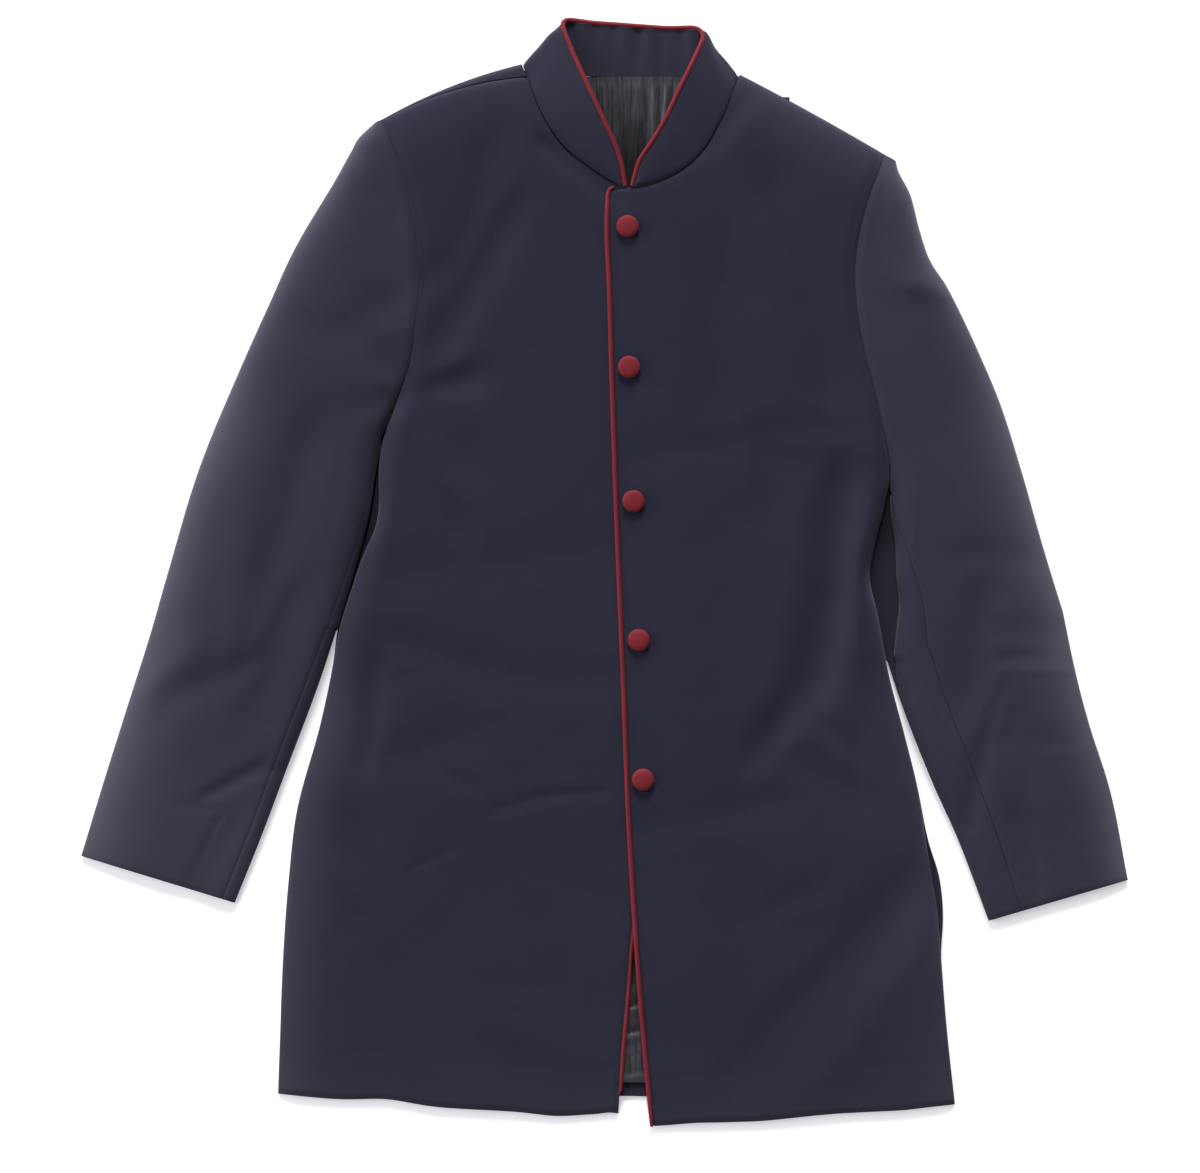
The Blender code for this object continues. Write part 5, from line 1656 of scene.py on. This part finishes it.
# %% [markdown]
# ## Covered buttons
# A covered button is a metal dome with a circle of cloth pulled over it and gripped underneath. The
# cloth is smooth on top, and puckers where it is gathered at the rim. A turned profile gives the
# dome, and a small wave round the rim gives the puckers.

# %% Buttons
BUTTONS = ((19.2, 287), (20.4, 170), (24, 58.5), (28.5, -57), (32, -173))
BUTTON_RADIUS = 9.25
BUTTON_HEIGHT = 5.0
BUTTON_GAP = 0.5
PUCKERS = 19
BUTTON_PROFILE = Line(
    (0.0, 0.10), (0.80, 0.0), (0.94, 0.10), (1.0, 0.30), (0.985, 0.52), (0.90, 0.72),
    (0.74, 0.86), (0.50, 0.94), (0.25, 0.985), (0.0, 1.0),
)


def seat_on_front(x, y):
    """Where a button lies on the left front: a place just above the cloth, and the way up."""
    def height(px, py):
        place = np.array([px]), np.array([py])
        return float((body_height(*place) + overlap_lift(*place))[0])

    slope_x = (height(x + BUTTON_RADIUS, y) - height(x - BUTTON_RADIUS, y)) / (2 * BUTTON_RADIUS)
    slope_y = (height(x, y + BUTTON_RADIUS) - height(x, y - BUTTON_RADIUS)) / (2 * BUTTON_RADIUS)
    normal = unit(np.array([-slope_x, -slope_y, 1.0]))
    return np.array([x, y, height(x, y)]) + normal * BUTTON_GAP, normal


def add_button(name, centre, normal, sides=64, rings=26):
    """A turned dome with puckers round its rim."""
    right = unit(np.cross([0.0, 1.0, 0.0], normal))
    ahead = np.cross(normal, right)
    profile = BUTTON_PROFILE.at(np.linspace(0, 1, rings))
    turn = np.linspace(0, 2 * math.pi, sides, endpoint=False)
    radius, height = np.maximum(profile[1:-1, 0], 0)[:, None], profile[1:-1, 1][:, None]
    rim = np.exp(-((height - 0.15) / 0.18) ** 2) * (radius > 0.75)
    radius = radius * (1 - 0.012 * rim * (1 + np.sin(PUCKERS * turn + centre[1])))
    plan = right * np.cos(turn)[:, None] + ahead * np.sin(turn)[:, None]
    rings_at = centre + radius[..., None] * BUTTON_RADIUS * plan
    rings_at = rings_at + (height * BUTTON_HEIGHT)[..., None] * normal
    ends = centre + np.outer((profile[0, 1], profile[-1, 1]), normal) * BUTTON_HEIGHT
    points = np.concatenate([rings_at.reshape(-1, 3), ends])
    faces = []
    count = rings - 2
    for ring in range(count - 1):
        for k in range(sides):
            a, b = ring * sides + k, ring * sides + (k + 1) % sides
            faces.append((a, b, b + sides, a + sides))
    low, high = len(points) - 2, len(points) - 1
    for k in range(sides):
        after = (k + 1) % sides
        faces.append((low, after, k))
        faces.append((high, (count - 1) * sides + k, (count - 1) * sides + after))
    return add_mesh(name, points, faces, button_satin, CORD_ANGLE)


for number, place in enumerate(BUTTONS, 1):
    centre, normal = seat_on_front(*place)
    button = add_button(f"covered_button_{number}", centre, normal)
    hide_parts(f"button_{number}")
print("buttons:", len(BUTTONS))

# %% [markdown]
# ## Cut sizes
# Each panel is a sheet of cloth. Its cut is stated as the box it is cut from and its own area.

# %% Cut sizes
def half_area(piece):
    """Area of one side of a thin shell, in square metres."""
    return sum(face.area for face in piece.data.polygons) / 2


CUTS = (
    (fronts["right"], (0.33, 0.89), ("lining_satin",)),
    (fronts["left"], (0.30, 0.90), ("front_cloth_right",)),
    (backs["right"], (0.30, 0.87), ()),
    (backs["left"], (0.28, 0.87), ()),
    (lining, (0.53, 0.84), ("back_cloth_right", "back_cloth_left")),
    (sleeves["right", "top"], (0.16, 0.68), ("sleeve_cloth_right_under",)),
    (sleeves["right", "under"], (0.20, 0.68), ()),
    (sleeves["left", "top"], (0.16, 0.68), ("sleeve_cloth_left_under",)),
    (sleeves["left", "under"], (0.20, 0.68), ()),
    (collar, (0.06, 0.46), ("front_cloth_right", "front_cloth_left")),
)
for piece, flat, rests_on in CUTS:
    area = round(half_area(piece), 4)
    share = area / (flat[0] * flat[1])
    print(piece.name, "area", area, "share of its box", round(share, 2))

# %% [markdown]
# ## Floor and light
# A white surface and a near-white room keep the shadows soft, as in a catalogue picture. One broad
# light from beyond the collar, not far above the surface, gives the folds their shade, and a weaker
# one from the left lifts the sleeve there. Suns are used, so that the whole surface is lit evenly.

# %% Floor
floor_mesh = bpy.data.meshes.new("floor")
FLOOR = 4.0  # metres from the middle to each side
BELOW_CLOTH = -0.0003  # metres, a hair under the cloth's underside
LIGHT_TABLE = 0.34  # the surface glows faintly, which keeps the shadows on it pale
corners = [(-FLOOR, -FLOOR, 0), (FLOOR, -FLOOR, 0), (FLOOR, FLOOR, 0), (-FLOOR, FLOOR, 0)]
floor_mesh.from_pydata(corners, [], [(0, 1, 2, 3)])
floor = bpy.data.objects.new("floor", floor_mesh)
floor.location.z = BELOW_CLOTH
bpy.context.scene.collection.objects.link(floor)
paper, tree, shader = new_material("white_paper")
shader.inputs["Base Color"].default_value = linear("#f6f6f8")
shader.inputs["Roughness"].default_value = 0.9
shader.inputs["Emission Color"].default_value = linear("#ffffff")
shader.inputs["Emission Strength"].default_value = LIGHT_TABLE
floor_mesh.materials.append(paper)
print("floor:", 2 * FLOOR, "m wide")

# %% Room, lights and tone
def add_sun(name, azimuth, elevation, softness, strength, colour):
    """A light from a direction in degrees, as broad as softness, also in degrees."""
    data = bpy.data.lights.new(name, "SUN")
    data.angle = math.radians(softness)
    data.energy = strength
    data.color = linear(colour)[:3]
    light = bpy.data.objects.new(name, data)
    light.rotation_euler = (math.radians(90 - elevation), 0, math.radians(azimuth + 90))
    bpy.context.scene.collection.objects.link(light)


WALLS, CEILING = 0.75, 0.15  # the room is bright round the table and dim above the camera
world = bpy.data.worlds.new("studio")
bpy.context.scene.world = world
world.use_nodes = True
sky = world.node_tree
sky.nodes["Background"].inputs["Color"].default_value = linear("#fbfbff")
direction = add_node(sky, "ShaderNodeTexCoord").outputs["Generated"]
upward = add_node(sky, "ShaderNodeSeparateXYZ", {}, {"Vector": direction})
glow = add_node(
    sky, "ShaderNodeMapRange", {"To Min": WALLS, "To Max": CEILING}, {"Value": upward.outputs["Z"]}
)
sky.links.new(glow.outputs["Result"], sky.nodes["Background"].inputs["Strength"])
add_sun("key", 92, 24, 22, 4.1, "#ffffff")
add_sun("fill", 168, 20, 50, 2.2, "#fbfbff")
bpy.context.scene.view_settings.view_transform = "Standard"
bpy.context.scene.view_settings.look = "None"
print("lights:", len(bpy.data.lights))
